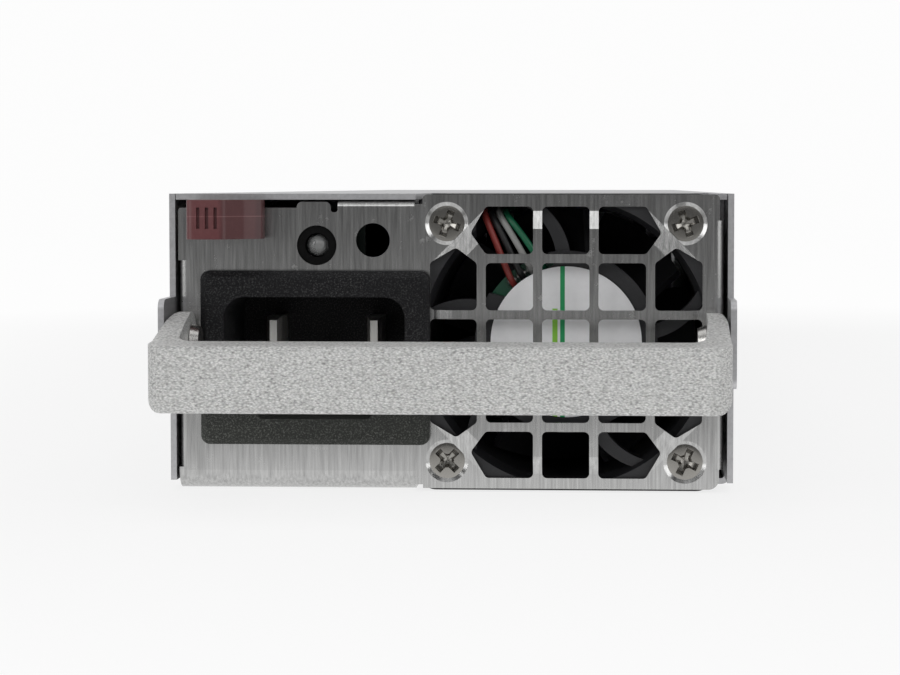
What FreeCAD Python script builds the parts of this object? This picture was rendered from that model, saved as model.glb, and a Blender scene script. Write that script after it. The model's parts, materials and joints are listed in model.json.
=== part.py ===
import FreeCAD, Part
import math
import os

# Hot swap server power supply. Millimetres, +X to the right seen from the front, +Z up.
# The front panel faces -Y, and the origin is the centre of the underside.

V = FreeCAD.Vector

# Case
fan_size = 40.0
case_length = 300.0
sheet = 0.8
tray_bend = 1.2
lid_side_gap = 0.1

# Front panel
panel_gap_left = 0.4
panel_gap_right = 0.5
panel_bend = 1.2
panel_corner = 1.4
panel_foot_bend = 2.6
panel_flange_depth = 7.0
panel_foot_depth = 8.0
seam = 0.3
slot_edge_drop = 1.9
lift_tab_width = 4.6
lift_tab_inset = 16.1
lift_tab_rise = 0.8
top_bend = 1.0
top_notch_width = 0.95
top_notch_drop = 0.6
relief_width = 1.1
side_flange_foot = 3.0
side_flange_head = 3.6
left_flange_head = 9.0

# Fan
fan_depth = 28.0
fan_screw_inset = 4.0
fan_side_gap = 0.35
fan_window_gap = 0.2
fan_corner = 2.5
fan_rim = 1.3
fan_mouth_flare = 0.7
fan_mouth_depth = 2.5
fan_pilot_radius = 1.5
strut_set_back = 1.2
strut_depth = 2.6
strut_width = 1.9
strut_lean = 12.0
strut_angles = (92.0, 7.0, -71.0, 216.0, 158.0)
hub_share = 0.642
base_overhang = 0.3
base_set_back = 1.0
base_thickness = 2.4
label_margin = 2.1
label_thickness = 0.25
fan_board_thickness = 1.0
bearing_tube_radius = 3.2
bearing_radius = 2.5
bearing_width = 2.3
fan_shaft_radius = 1.0
shaft_clearance = 0.05
fit_gap = 0.03
hub_wall = 0.9
hub_length = 20.4
blade_count = 7
blade_tip_gap = 0.7
blade_thickness = 1.0
blade_sweep = 34.0
blade_tip_sweep = 48.0
blade_chord = 18.4
blade_camber = 0.07
magnet_thickness = 1.8
stator_air_gap = 0.6
pole_half_width = 1.3
coil_start = 0.24
coil_end = 0.6

# Fan leads and their plug
lead_radius = 0.45
lead_pitch = 0.98
pad_margin = 1.0
pad_first_angle = 132.0
pad_angle_step = 8.0
lead_channel_width = 6.4
lead_channel_wall = 1.1
plug_stand_off = 15.0
lead_bend = 4.0
lead_sides = 8

# Grille
grille_border = 1.725
grille_bar = 1.2
grille_corner = 0.7
grille_cells = 5
emboss_height = 0.7
emboss_border = 2.3
emboss_slope = 2.4
emboss_foot_cut = 6.6
emboss_top_cut = 5.6

# Outline of the panel
seam_side_gap = 0.35
edge_step = 0.6
top_corner = 0.7
notch_corner = 0.4
slot_step = 0.5
tab_round_share = 0.9

# Fan screws
fan_screw_head_radius = 2.4
fan_dimple_radius = 2.9
fan_dimple_root = 1.7
fan_screw_radius = 1.45
fan_screw_length = 9.0

# Status light and the open hole beside it
light_drop = 6.95
light_from_fan = 13.55
light_hole_radius = 2.68
light_radius = 1.6
light_wall = 0.9
light_depth = 5.0
open_hole_radius = 2.29
open_hole_drop = 6.25
open_hole_from_fan = 5.95
light_board_gap = 0.25
light_board_thickness = 1.0
light_board_half = 6.0
light_board_foot = 4.6
light_board_head = 4.4

# Fan header and plug
fan_header_width = 10.4
fan_header_length = 5.0
fan_header_height = 7.0
fan_header_wall = 0.8
fan_header_floor = 1.5
fan_plug_head = 5.0
fan_plug_step = 0.2

# Mains inlet
inlet_width = 27.0
inlet_foot = 8.25
inlet_head = 12.35
inlet_margin = 5.15
inlet_depth = 20.0
inlet_flange_side = 1.95
inlet_flange_rim = 2.0
inlet_flange_thickness = 2.0
inlet_fan_gap = 0.2
inlet_cut_gap = 0.1
cavity_side_wall = 1.3
cavity_wall = 1.5
cavity_depth = 17.0
cavity_bevel = 5.0
cavity_corner = 2.8
pin_pitch = 14.0
pin_rise = 3.0
earth_drop = 1.6
pin_width = 2.0
pin_height = 4.0
pin_recess = 8.0
pin_tail = 8.0
inlet_lead_radius = 1.0
inlet_bevel = 0.8
inlet_corner = 1.4
inlet_flange_corner = 1.2
inlet_face_corner = 1.0
inlet_cut_corner = 1.5
cavity_low_corner = 0.6
clip_start = 0.2
clip_end = 6.0
clip_rise = 0.15
clip_height = 8.0

# Ears and handle
ear_length = 8.1
ear_half_height = 5.8
ear_corner = 1.3
pivot_rise = 0.3
pivot_reach = 4.5
handle_side_gap = 0.4
handle_reach = 18.1
handle_bar_depth = 5.0
handle_bar_height = 8.5
handle_bar_drop = 3.6
handle_bar_slope = 0.35
handle_corner = 2.6
handle_foot_corner = 2.2
handle_shoulder = 1.2
handle_arm_root = 3.3
handle_arm_tip = 2.6
handle_boss_radius = 4.0
handle_edge = 0.9
handle_heel_gap = 0.1
handle_heel_drop = 3.2
rivet_radius = 1.5
rivet_head_radius = 2.4
rivet_head_height = 1.1
rivet_clearance = 0.05

# Latch
latch_drop = 5.4
latch_height = 3.4
latch_thickness = 1.2
latch_wall_gap = 3.8
latch_length = 44.0
latch_eye_radius = 2.6
latch_pin_radius = 1.5
latch_pin_clearance = 0.05
latch_pin_head = 0.3
latch_pin_head_rim = 0.7
latch_play = 0.1
latch_shelf_gap = 0.2
latch_shelf_margin = 1.8
latch_shelf_length = 10.0
latch_foot_height = 8.0
latch_stop_drop = 0.4
latch_front_reach = 3.0
latch_grip = 6.0
tooth_corner = 0.4
tooth_nose = 1.6
tooth_from_pin = 28.0
tooth_length = 8.0
tooth_proud = 2.0
tooth_height = 2.6
tooth_window_gap = 0.7
thumb_foot_drop = 0.6
thumb_top_drop = 0.8
thumb_reach = 7.5
thumb_width = 9.6
thumb_pad_width = 5.0
thumb_wall = 1.0
thumb_corner = 1.0
thumb_panel_gap = 1.2
thumb_neck_width = 5.0
thumb_travel = 3.7
thumb_window_gap = 0.4
thumb_slots = 3
thumb_slot_first = 1.45
thumb_slot_pitch = 1.15
thumb_slot_width = 0.45
thumb_slot_depth = 0.5
thumb_slot_foot = 1.4
thumb_slot_head = 1.0
thumb_shoulder = 2.2
thumb_shoulder_fall = 1.4
thumb_shoulder_share = 0.77
thumb_shoulder_corner = 1.6
thumb_neck_reach = 6.0
spring_foot = 4.0
spring_straight = 3.0
spring_corner = 2.0
spring_set = 2.0
spring_touch_gap = 0.05
spring_rise = 0.6
spring_height_drop = 1.4
spring_thickness = 0.35

# Lid and its screws
lid_flange_deep = 9.0
lid_flange_front = 9.0
lid_flange_behind_latch = 12.0
lid_screw_rows = 2
lid_screw_first = 70.0
lid_screw_last = 30.0
lid_screw_drop = 5.4
lid_screw_head_radius = 2.6
lid_screw_root_radius = 1.6
lid_screw_radius = 1.2
lid_screw_length = 3.2

# Rear panel and output connector
vent_count = 8
vent_pitch = 8.0
vent_width = 5.0
vent_gap = 3.3
vent_top_drop = 9.0
connector_width = 54.0
connector_height = 11.0
connector_depth = 22.0
connector_standoff_gap = 1.2
connector_proud = 6.0
connector_window_gap = 0.2
connector_nose = 1.5
blade_pairs = 6
power_blade_spaces = 9
power_blade_width = 1.3
power_blade_height = 7.6
power_slot_width = 2.3
power_slot_height = 8.6
contact_slot_depth = 9.0
signal_columns = 4
signal_rows = 3
signal_pitch = 2.0
signal_pin = 0.64
signal_wall = 1.4

# Main board and what fixes it
board_thickness = 1.6
board_lift = 3.8
board_side_gap = 1.7
board_front_gap = 4.0
board_rear_gap = 3.0
standoff_radius = 2.75
standoff_rows = 3
standoff_inset = 4.5
board_screw_head_radius = 2.75
board_screw_head_height = 1.8
board_screw_radius = 1.25
film_thickness = 0.4
film_gap = 1.0
station_count = 8
lid_headroom = 3.0

# Values that follow from the ones above
case_height = fan_size
panel_width = inlet_margin + inlet_width + inlet_fan_gap + fan_size + fan_side_gap + sheet
wall_inside = (panel_gap_left + panel_width + panel_gap_right) / 2
half_width = wall_inside + sheet
front = -case_length / 2
rear = case_length / 2
panel_back = front + sheet
lid_under = case_height - sheet
panel_left = -(wall_inside - panel_gap_left)
panel_right = wall_inside - panel_gap_right
fan_right = panel_right - sheet - fan_side_gap
fan_x = fan_right - fan_size / 2
fan_left = fan_x - fan_size / 2
fan_z = case_height / 2
fan_screw_pitch = fan_size - 2 * fan_screw_inset
fan_bore_radius = fan_size / 2 - fan_rim
fan_mouth_radius = fan_bore_radius + fan_mouth_flare
hub_radius = fan_bore_radius * hub_share
base_radius = hub_radius + base_overhang
label_radius = base_radius - label_margin
pad_radius = base_radius - pad_margin
grille_pitch = (fan_size - 2 * grille_border + grille_bar) / grille_cells
emboss_foot = fan_size / 2 - emboss_border
emboss_top = emboss_foot - emboss_slope
fan_back = panel_back + fan_depth
inlet_x = fan_left - inlet_fan_gap - inlet_width / 2
inlet_back = panel_back + inlet_depth
inlet_height = case_height - inlet_foot - inlet_head
inlet_centre_height = inlet_foot + inlet_height / 2
inlet_flange_width = inlet_width + 2 * inlet_flange_side
inlet_flange_height = inlet_height + 2 * inlet_flange_rim
cavity_width = inlet_width - 2 * cavity_side_wall
cavity_height = inlet_height - 2 * cavity_wall
light_x = fan_left - light_from_fan
light_height = case_height - light_drop
open_hole_x = fan_left - open_hole_from_fan
open_hole_height = case_height - open_hole_drop
pivot_y = front - pivot_reach
pivot_height = case_height / 2 + pivot_rise
ear_bottom = pivot_height - ear_half_height
ear_top = pivot_height + ear_half_height
latch_x = -wall_inside + latch_wall_gap + latch_thickness / 2
latch_pin_y = front + latch_length
latch_bottom = case_height - latch_drop
thumb_bottom = latch_bottom - thumb_foot_drop
thumb_top = case_height - thumb_top_drop
thumb_left = latch_x - latch_thickness / 2 - thumb_wall
board_bottom = sheet + board_lift
board_top = board_bottom + board_thickness
board_half = wall_inside - board_side_gap
board_front = fan_back + board_front_gap
power_blade_pitch = connector_width / power_blade_spaces
board_rear = rear - sheet - board_rear_gap
board_length = board_rear - board_front
vent_bottom = board_top + connector_height + vent_gap
vent_top = case_height - vent_top_drop
column = board_half
row = board_length / station_count
rise = lid_under - board_top - lid_headroom
bay = min(row, column)
column_left = -column / 2
column_right = column / 2
sink_x = column_right - 0.085 * column


def station(number):
    """Place along the board of a row of parts, counted from the fan end; a share lies between two rows."""
    return board_front + (number + 0.5) * row


def in_front_plane(y):
    return lambda u, v: V(u, y, v)


def in_plan(z):
    return lambda u, v: V(u, v, z)


def in_side_plane(x):
    return lambda u, v: V(x, u, v)


def outline(corners, place):
    """Closed face through (u, v, radius) corners, each corner rounded to its radius."""
    spots = []
    for number, (u, v, radius) in enumerate(corners):
        before = corners[number - 1]
        after = corners[(number + 1) % len(corners)]
        here = V(u, v, 0)
        if radius == 0:
            spots.append((here, None, here))
            continue
        to_before = (V(before[0], before[1], 0) - here).normalize()
        to_after = (V(after[0], after[1], 0) - here).normalize()
        half_turn = to_before.getAngle(to_after) / 2
        reach = radius / math.tan(half_turn)
        centre = here + (to_before + to_after).normalize() * (radius / math.sin(half_turn))
        middle = centre + (here - centre).normalize() * radius
        spots.append((here + to_before * reach, middle, here + to_after * reach))
    edges = []
    for number, (start, middle, end) in enumerate(spots):
        if middle is not None:
            arc = Part.Arc(place(start.x, start.y), place(middle.x, middle.y), place(end.x, end.y))
            edges.append(arc.toShape())
        following = spots[(number + 1) % len(spots)][0]
        if (following - end).Length > 1e-6:
            edges.append(Part.makeLine(place(end.x, end.y), place(following.x, following.y)))
    return Part.Face(Part.Wire(edges))


def front_prism(corners, y, depth):
    """Outline drawn in the front view, taken back along +Y."""
    return outline(corners, in_front_plane(y)).extrude(V(0, depth, 0))


def plan_prism(corners, z, height):
    """Outline drawn in plan, taken up along +Z."""
    return outline(corners, in_plan(z)).extrude(V(0, 0, height))


def side_prism(corners, x, width):
    """Outline drawn in the side view, (y, z), taken along +X."""
    return outline(corners, in_side_plane(x)).extrude(V(width, 0, 0))


def block(x_low, x_high, y_low, y_high, z_low, z_high):
    return Part.makeBox(x_high - x_low, y_high - y_low, z_high - z_low, V(x_low, y_low, z_low))


def centred(x, y, z_low, width, length, height):
    return block(x - width / 2, x + width / 2, y - length / 2, y + length / 2, z_low, z_low + height)


def rectangle(x, z, width, height, radius):
    """Corners of a rounded rectangle about (x, z)."""
    return [
        (x - width / 2, z - height / 2, radius),
        (x + width / 2, z - height / 2, radius),
        (x + width / 2, z + height / 2, radius),
        (x - width / 2, z + height / 2, radius),
    ]


def rod_y(x, y, z, radius, length):
    return Part.makeCylinder(radius, length, V(x, y, z), V(0, 1, 0))


def rod_z(x, y, z, radius, length):
    return Part.makeCylinder(radius, length, V(x, y, z), V(0, 0, 1))


def rod_x(x, y, z, radius, length):
    return Part.makeCylinder(radius, length, V(x, y, z), V(1, 0, 0))


def cone_y(x, y, z, radius_front, radius_back, length):
    return Part.makeCone(radius_front, radius_back, length, V(x, y, z), V(0, 1, 0))


def turned(profile, base, axis):
    """Solid of revolution: (radius, distance) corners about an axis from base."""
    points = [V(radius, 0, along) for radius, along in profile]
    face = Part.Face(Part.makePolygon(points + points[:1]))
    solid = face.revolve(V(0, 0, 0), V(0, 0, 1), 360)
    solid.Placement = FreeCAD.Placement(base, FreeCAD.Rotation(V(0, 0, 1), axis))
    return solid


def tube(points, radius):
    """Lead along straight runs joined by bends, drawn with few flat sides because it is so thin."""
    edges = []
    last = points[0]
    for number in range(1, len(points) - 1):
        here = points[number]
        to_before = points[number - 1] - here
        to_after = points[number + 1] - here
        shorter = min(to_before.Length, to_after.Length)
        to_before.normalize()
        to_after.normalize()
        half_turn = to_before.getAngle(to_after) / 2
        bend = min(lead_bend * radius, 0.45 * shorter * math.tan(half_turn))
        reach = bend / math.tan(half_turn)
        centre = here + (to_before + to_after).normalize() * (bend / math.sin(half_turn))
        middle = centre + (here - centre).normalize() * bend
        start = here + to_before * reach
        end = here + to_after * reach
        edges.append(Part.makeLine(last, start))
        edges.append(Part.Arc(start, middle, end).toShape())
        last = end
    edges.append(Part.makeLine(last, points[-1]))
    along = (points[1] - points[0]).normalize()
    across = along.cross(V(0.3, 0.2, 1)).normalize()
    upward = along.cross(across)
    corners = []
    for number in range(lead_sides + 1):
        turn = 2 * math.pi * number / lead_sides
        corners.append(points[0] + across * (radius * math.cos(turn)) + upward * (radius * math.sin(turn)))
    return Part.Wire(edges).makePipeShell([Part.makePolygon(corners)], True, False)


def round_core(x, y, outer, inner, height):
    """Wound ring lying on the board, with its upper rim eased."""
    ease = height / 6
    profile = [(inner, 0), (outer, 0), (outer, height - ease), (outer - ease, height), (inner, height)]
    return turned(profile, V(x, y, board_top), V(0, 0, 1))


def fan_corners():
    half = fan_screw_pitch / 2
    return [(fan_x + i * half, fan_z + j * half) for i in (-1, 1) for j in (-1, 1)]


def lid_screw_places():
    """Side, y and height of each lid screw, low to high along the case."""
    first = front + lid_screw_first
    step = (rear - lid_screw_last - first) / (lid_screw_rows - 1)
    height = case_height - lid_screw_drop
    return [(side, first + row * step, height) for side in (-1, 1) for row in range(lid_screw_rows)]


def standoff_places():
    side = board_half - standoff_inset
    first = board_front + standoff_inset
    last = rear + connector_proud - connector_depth - connector_standoff_gap - standoff_radius
    step = (last - first) / (standoff_rows - 1)
    return [(i * side, first + row * step) for i in (-1, 1) for row in range(standoff_rows)]


def latch_window():
    """y range of the side wall window that the latch tooth works through."""
    middle = latch_pin_y - tooth_from_pin
    half = tooth_length / 2 + tooth_window_gap
    return middle - half, middle + half


def base_tray():
    section = [
        (-half_width, case_height, 0), (-half_width, 0, tray_bend),
        (half_width, 0, tray_bend), (half_width, case_height, 0),
        (wall_inside, case_height, 0), (wall_inside, sheet, tray_bend - sheet),
        (-wall_inside, sheet, tray_bend - sheet), (-wall_inside, case_height, 0),
    ]
    tray = front_prism(section, front, case_length)
    relief_back = front + panel_foot_depth + seam
    tray = tray.cut(block(-half_width - 1, fan_left, front - 1, relief_back, -1, tray_bend))
    tray = tray.cut(block(fan_right, half_width + 1, front - 1, relief_back, -1, tray_bend))
    tray = tray.cut(block(
        fan_left - fan_window_gap, fan_right + fan_window_gap,
        front - 1, fan_back + fan_window_gap, -1, tray_bend))
    for side in (-1, 1):
        x = -half_width if side < 0 else wall_inside
        ear = [
            (front + sheet, ear_bottom, 0), (front - ear_length, ear_bottom, ear_corner),
            (front - ear_length, ear_top, ear_corner), (front + sheet, ear_top, 0),
        ]
        tray = tray.fuse(side_prism(ear, x, sheet))
        tray = tray.cut(rod_x(x - 1, pivot_y, pivot_height, rivet_radius + fit_gap, sheet + 2))
    for side, y, z in lid_screw_places():
        tray = tray.cut(Part.makeCone(
            lid_screw_head_radius + fit_gap, lid_screw_root_radius + fit_gap, sheet,
            V(side * half_width, y, z), V(-side, 0, 0)))
    window_front, window_back = latch_window()
    tooth_bottom = latch_bottom + (latch_height - tooth_height) / 2
    tray = tray.cut(block(
        -half_width - 1, -wall_inside + 1, window_front, window_back,
        tooth_bottom - seam, tooth_bottom + tooth_height + seam))
    return tray.removeSplitter()


def grille_holes():
    """Five by five square cells about the fan, without corners, which the screws take."""
    cell = grille_pitch - grille_bar
    reach = 2 * grille_pitch + cell / 2
    inner = 2 * grille_pitch - cell / 2
    shoulder = reach - grille_pitch
    apex = reach - cell / 2 - 0.35
    apex_rise = 2 * grille_pitch - 2.3
    low = front - emboss_height - 1
    depth = emboss_height + sheet + 2
    holes = []
    middle = grille_cells // 2
    for column in range(-middle, middle + 1):
        for row in range(-middle, middle + 1):
            corner_cell = abs(column) == middle and abs(row) == middle
            pointed = abs(column) + abs(row) == 2 * middle - 1
            if corner_cell or pointed:
                continue
            holes.append(front_prism(rectangle(
                fan_x + column * grille_pitch, fan_z + row * grille_pitch,
                cell, cell, grille_corner), low, depth))
    for i in (-1, 1):
        for j in (-1, 1):
            side = [
                (reach, grille_pitch - cell / 2, grille_corner), (reach, shoulder, grille_corner),
                (apex, apex_rise, grille_corner), (inner, shoulder, grille_corner),
                (inner, grille_pitch - cell / 2, grille_corner),
            ]
            holes.append(front_prism([(fan_x + i * u, fan_z + j * v, r) for u, v, r in side], low, depth))
            holes.append(front_prism([(fan_x + i * v, fan_z + j * u, r) for u, v, r in side], low, depth))
    return holes


def emboss(y):
    """Shallow raised field behind the grille, eight sided because the screw corners stay flat."""
    def ring(half, cut, place):
        corners = [
            (-half + cut, -half), (half - cut, -half), (half, -half + cut), (half, half - cut),
            (half - cut, half), (-half + cut, half), (-half, half - cut), (-half, -half + cut),
        ]
        points = [V(fan_x + u, place, fan_z + v) for u, v in corners]
        return Part.makePolygon(points + points[:1])
    foot = ring(emboss_foot, emboss_foot_cut, y)
    top = ring(emboss_top, emboss_top_cut, y - emboss_height)
    return Part.makeLoft([foot, top], True, True)


def front_panel():
    foot_end = fan_left - seam_side_gap
    relief_end = foot_end + relief_width
    left_flat = panel_left + panel_bend
    right_flat = panel_right - panel_bend
    right_edge = panel_right - edge_step
    slot_edge = case_height - slot_edge_drop
    flange_low = side_flange_foot
    flange_high = case_height - side_flange_head
    left_high = case_height - left_flange_head
    tab_left = panel_left + lift_tab_inset
    tab_right = tab_left + lift_tab_width
    notch_right = tab_right + top_notch_width
    top_flat = lid_under - fit_gap
    outline_corners = [
        (panel_left, panel_foot_bend, 0), (foot_end, panel_foot_bend, 0),
        (foot_end, sheet, 0), (relief_end, sheet, 0), (relief_end, seam, 0),
        (right_edge, seam, panel_corner), (right_edge, flange_low, 0), (right_flat, flange_low, 0),
        (right_flat, flange_high, 0), (right_edge, flange_high, 0),
        (right_edge, case_height - lid_side_gap, top_corner),
        (relief_end, case_height - lid_side_gap, top_corner),
        (relief_end, slot_edge + slot_step, 0), (foot_end, slot_edge + slot_step, 0),
        (foot_end, top_flat - top_bend, 0), (notch_right, top_flat - top_bend, 0),
        (notch_right, slot_edge - top_notch_drop, notch_corner),
        (tab_right, slot_edge - top_notch_drop, notch_corner),
        (tab_right, slot_edge + lift_tab_rise, lift_tab_rise * tab_round_share),
        (tab_left, slot_edge + lift_tab_rise, lift_tab_rise * tab_round_share),
        (tab_left, slot_edge, 0), (panel_left, slot_edge, notch_corner),
        (panel_left, left_high, 0), (left_flat, left_high, 0),
        (left_flat, flange_low, 0), (panel_left, flange_low, 0),
    ]
    panel = front_prism(outline_corners, front, sheet)
    panel = panel.fuse([
        side_flange(panel_left, 1, flange_low, left_high),
        side_flange(panel_right, -1, flange_low, flange_high),
        folded_edge(0.0, 1, panel_left, foot_end, panel_foot_bend, panel_foot_depth),
        folded_edge(top_flat, -1, notch_right, foot_end, top_bend, panel_flange_depth),
        emboss(front),
    ])
    panel = panel.cut(emboss(panel_back))
    for hole in grille_holes():
        panel = panel.cut(hole)
    for x, z in fan_corners():
        panel = panel.cut(cone_y(x, front, z, fan_dimple_radius, fan_dimple_root, sheet))
    panel = panel.cut(rod_y(light_x, front - 1, light_height, light_hole_radius, sheet + 2))
    panel = panel.cut(rod_y(open_hole_x, front - 1, open_hole_height, open_hole_radius, sheet + 2))
    panel = panel.cut(front_prism(rectangle(
        inlet_x, inlet_centre_height, inlet_width + 2 * inlet_cut_gap,
        inlet_height + 2 * inlet_cut_gap, inlet_cut_corner), front - 1, sheet + 2))
    panel = panel.cut(block(
        thumb_left - thumb_window_gap, thumb_left + thumb_neck_width + thumb_travel + thumb_window_gap,
        front - 1, panel_back + 1, latch_bottom - thumb_window_gap, case_height))
    return panel.removeSplitter()


def side_flange(edge, inward, low, high):
    """Edge of the panel folded back beside the tray wall."""
    flat = edge + inward * panel_bend
    corners = [
        (flat, front, 0), (edge, front, panel_bend), (edge, front + panel_flange_depth, 0),
        (edge + inward * sheet, front + panel_flange_depth, 0),
        (edge + inward * sheet, panel_back, panel_bend - sheet), (flat, panel_back, 0),
    ]
    return plan_prism(corners, low, high - low)


def folded_edge(level, inward, x_low, x_high, bend, depth):
    """Edge of the panel folded back along the floor or under the lid."""
    flat = level + inward * bend
    inner = level + inward * sheet
    corners = [
        (front, flat, 0), (front, level, bend), (front + depth, level, 0),
        (front + depth, inner, 0), (panel_back, inner, bend - sheet), (panel_back, flat, 0),
    ]
    return side_prism(corners, x_low, x_high - x_low)


def top_cover():
    edge = wall_inside - lid_side_gap
    latch_end = latch_pin_y + lid_flange_behind_latch
    lid = block(-edge, edge, front, rear, lid_under, case_height)
    for side in (-1, 1):
        inner = edge - sheet
        x_low, x_high = (-edge, -inner) if side < 0 else (inner, edge)
        start = latch_end if side < 0 else front + lid_flange_front
        lid = lid.fuse(block(
            x_low, x_high, start, rear - sheet - seam, lid_under - lid_flange_deep, lid_under))
    lid = lid.cut(block(
        fan_left - fan_window_gap, fan_right + fan_window_gap,
        front - 1, fan_back + fan_window_gap, lid_under - 1, case_height + 1))
    lid = lid.cut(block(
        fan_left - fan_window_gap, half_width, front - 1, panel_back + seam, lid_under - 1, case_height + 1))
    for side, y, z in lid_screw_places():
        lid = lid.cut(rod_x(side * edge - 2, y, z, lid_screw_radius + fit_gap, 4))
    return lid.removeSplitter()


def lid_screws():
    screws = []
    for side, y, z in lid_screw_places():
        start = V(side * half_width, y, z)
        inward = V(-side, 0, 0)
        head = Part.makeCone(lid_screw_head_radius, lid_screw_root_radius, sheet, start, inward)
        shank = Part.makeCylinder(lid_screw_radius, lid_screw_length, start, inward)
        screws.append(head.fuse(shank).removeSplitter())
    return screws


def rear_panel():
    edge = wall_inside - lid_side_gap
    head = lid_under - fit_gap
    inner = rear - sheet
    corner = tray_bend - sheet
    panel = front_prism(
        [(-edge, sheet, corner), (edge, sheet, corner), (edge, head, 0), (-edge, head, 0)], inner, sheet)
    for side in (-1, 1):
        x_low, x_high = (-edge, -edge + sheet) if side < 0 else (edge - sheet, edge)
        panel = panel.fuse(block(
            x_low, x_high, rear - panel_flange_depth, inner,
            tray_bend + seam, lid_under - lid_flange_deep - seam))
    panel = panel.fuse(block(
        -board_half + standoff_inset, board_half - standoff_inset,
        rear - board_rear_gap, inner, sheet, 2 * sheet))
    gap = connector_window_gap
    panel = panel.cut(block(
        -connector_width / 2 - gap, connector_width / 2 + gap, inner - 1, rear + 1,
        board_top - gap, board_top + connector_height + gap))
    first = -vent_pitch * (vent_count - 1) / 2
    for number in range(vent_count):
        slot = rectangle(
            first + number * vent_pitch, (vent_bottom + vent_top) / 2,
            vent_width, vent_top - vent_bottom, vent_width / 2 - 0.01)
        panel = panel.cut(front_prism(slot, inner - 1, sheet + 2))
    return panel.removeSplitter()


def fan_lead_top():
    """Height at which the fan leads run back through the frame's channel."""
    return fan_z + fan_size / 2 - lead_channel_wall - lead_radius - 0.5


def fan_lead_x(number):
    return fan_x - 0.28 * fan_size + number * lead_pitch


def strut(angle):
    """Curved spoke from the stator base to the frame, leaning on its way out."""
    inner = base_radius - 0.2
    outer = fan_bore_radius + 0.5
    middle = (inner + outer) / 2
    def at(radius, degrees):
        turn = math.radians(degrees)
        return V(fan_x + radius * math.cos(turn), panel_back + strut_set_back, fan_z + radius * math.sin(turn))
    def spread(radius):
        return math.degrees(strut_width / 2 / radius)
    def side(sign):
        return [
            at(inner, angle + sign * spread(inner)),
            at(middle, angle + strut_lean * 0.35 + sign * spread(middle)),
            at(outer, angle + strut_lean + sign * spread(outer)),
        ]
    left = side(1)
    right = side(-1)
    edges = [
        Part.Arc(*left).toShape(), Part.makeLine(left[2], right[2]),
        Part.Arc(*right).toShape(), Part.makeLine(right[0], left[0]),
    ]
    face = Part.Face(Part.Wire(Part.sortEdges(edges)[0]))
    return face.extrude(V(0, strut_depth, 0))


def fan_frame():
    frame = front_prism(rectangle(fan_x, fan_z, fan_size, fan_size, fan_corner), panel_back, fan_depth)
    frame = frame.cut(rod_y(fan_x, panel_back - 1, fan_z, fan_bore_radius, fan_depth + 2))
    frame = frame.cut(cone_y(fan_x, panel_back, fan_z, fan_mouth_radius, fan_bore_radius, fan_mouth_depth))
    for x, z in fan_corners():
        frame = frame.cut(rod_y(x, panel_back - 1, z, fan_pilot_radius, fan_depth + 2))
    channel_left = fan_lead_x(0) - lead_pitch
    frame = frame.cut(block(
        channel_left, channel_left + lead_channel_width, panel_back - 1, fan_back + 1,
        fan_z + fan_bore_radius / 2, fan_z + fan_size / 2 - lead_channel_wall))
    base_front = panel_back + base_set_back
    base_back = base_front + base_thickness
    frame = frame.fuse([strut(angle) for angle in strut_angles])
    frame = frame.fuse(rod_y(fan_x, base_front, fan_z, base_radius, base_thickness))
    frame = frame.fuse(rod_y(fan_x, base_back, fan_z, bearing_tube_radius, hub_length - 2.4))
    frame = frame.cut(rod_y(fan_x, base_back, fan_z, bearing_radius + fit_gap, hub_length))
    frame = frame.cut(rod_y(fan_x, base_front - 1, fan_z, label_radius + 0.2, 1 + label_thickness))
    notch_shares = [(-0.86, 0.54), (-0.67, 0.49), (-0.13, 0.85), (-0.24, 1.06), (-0.73, 0.93)]
    notch = [(fan_x + u * base_radius, fan_z + v * base_radius, 0) for u, v in notch_shares]
    frame = frame.cut(front_prism(notch, base_front - 1, base_thickness + 1))
    return frame.removeSplitter()


def fan_board():
    y = panel_back + base_set_back + base_thickness
    board = rod_y(fan_x, y, fan_z, base_radius - 0.3, fan_board_thickness)
    return board.cut(rod_y(fan_x, y - 1, fan_z, bearing_tube_radius + fit_gap, fan_board_thickness + 2))


def fan_label():
    y = panel_back + base_set_back
    return rod_y(fan_x, y, fan_z, label_radius, label_thickness)


def hub_open_y():
    return panel_back + base_set_back + base_thickness + fan_board_thickness + stator_air_gap


def fan_rotor():
    """Hub cup with its blades, open towards the stator."""
    open_y = hub_open_y()
    cup = rod_y(fan_x, open_y, fan_z, hub_radius, hub_length)
    cup = cup.cut(rod_y(fan_x, open_y - 1, fan_z, hub_radius - hub_wall, hub_length - hub_wall + 1))
    boss = 2 * fan_shaft_radius
    cup = cup.fuse(rod_y(fan_x, open_y + hub_length - 3, fan_z, boss, 3))
    cup = cup.cut(rod_y(fan_x, open_y, fan_z, fan_shaft_radius, hub_length - hub_wall))
    ring = rod_y(fan_x, open_y, fan_z, fan_bore_radius - blade_tip_gap, hub_length)
    ring = ring.cut(rod_y(fan_x, open_y - 1, fan_z, hub_radius - hub_wall / 2, hub_length + 2))
    blades = []
    for number in range(blade_count):
        blades.append(blade(number * 360.0 / blade_count, open_y + hub_length / 2).common(ring))
    return cup.fuse(blades).removeSplitter()


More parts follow.
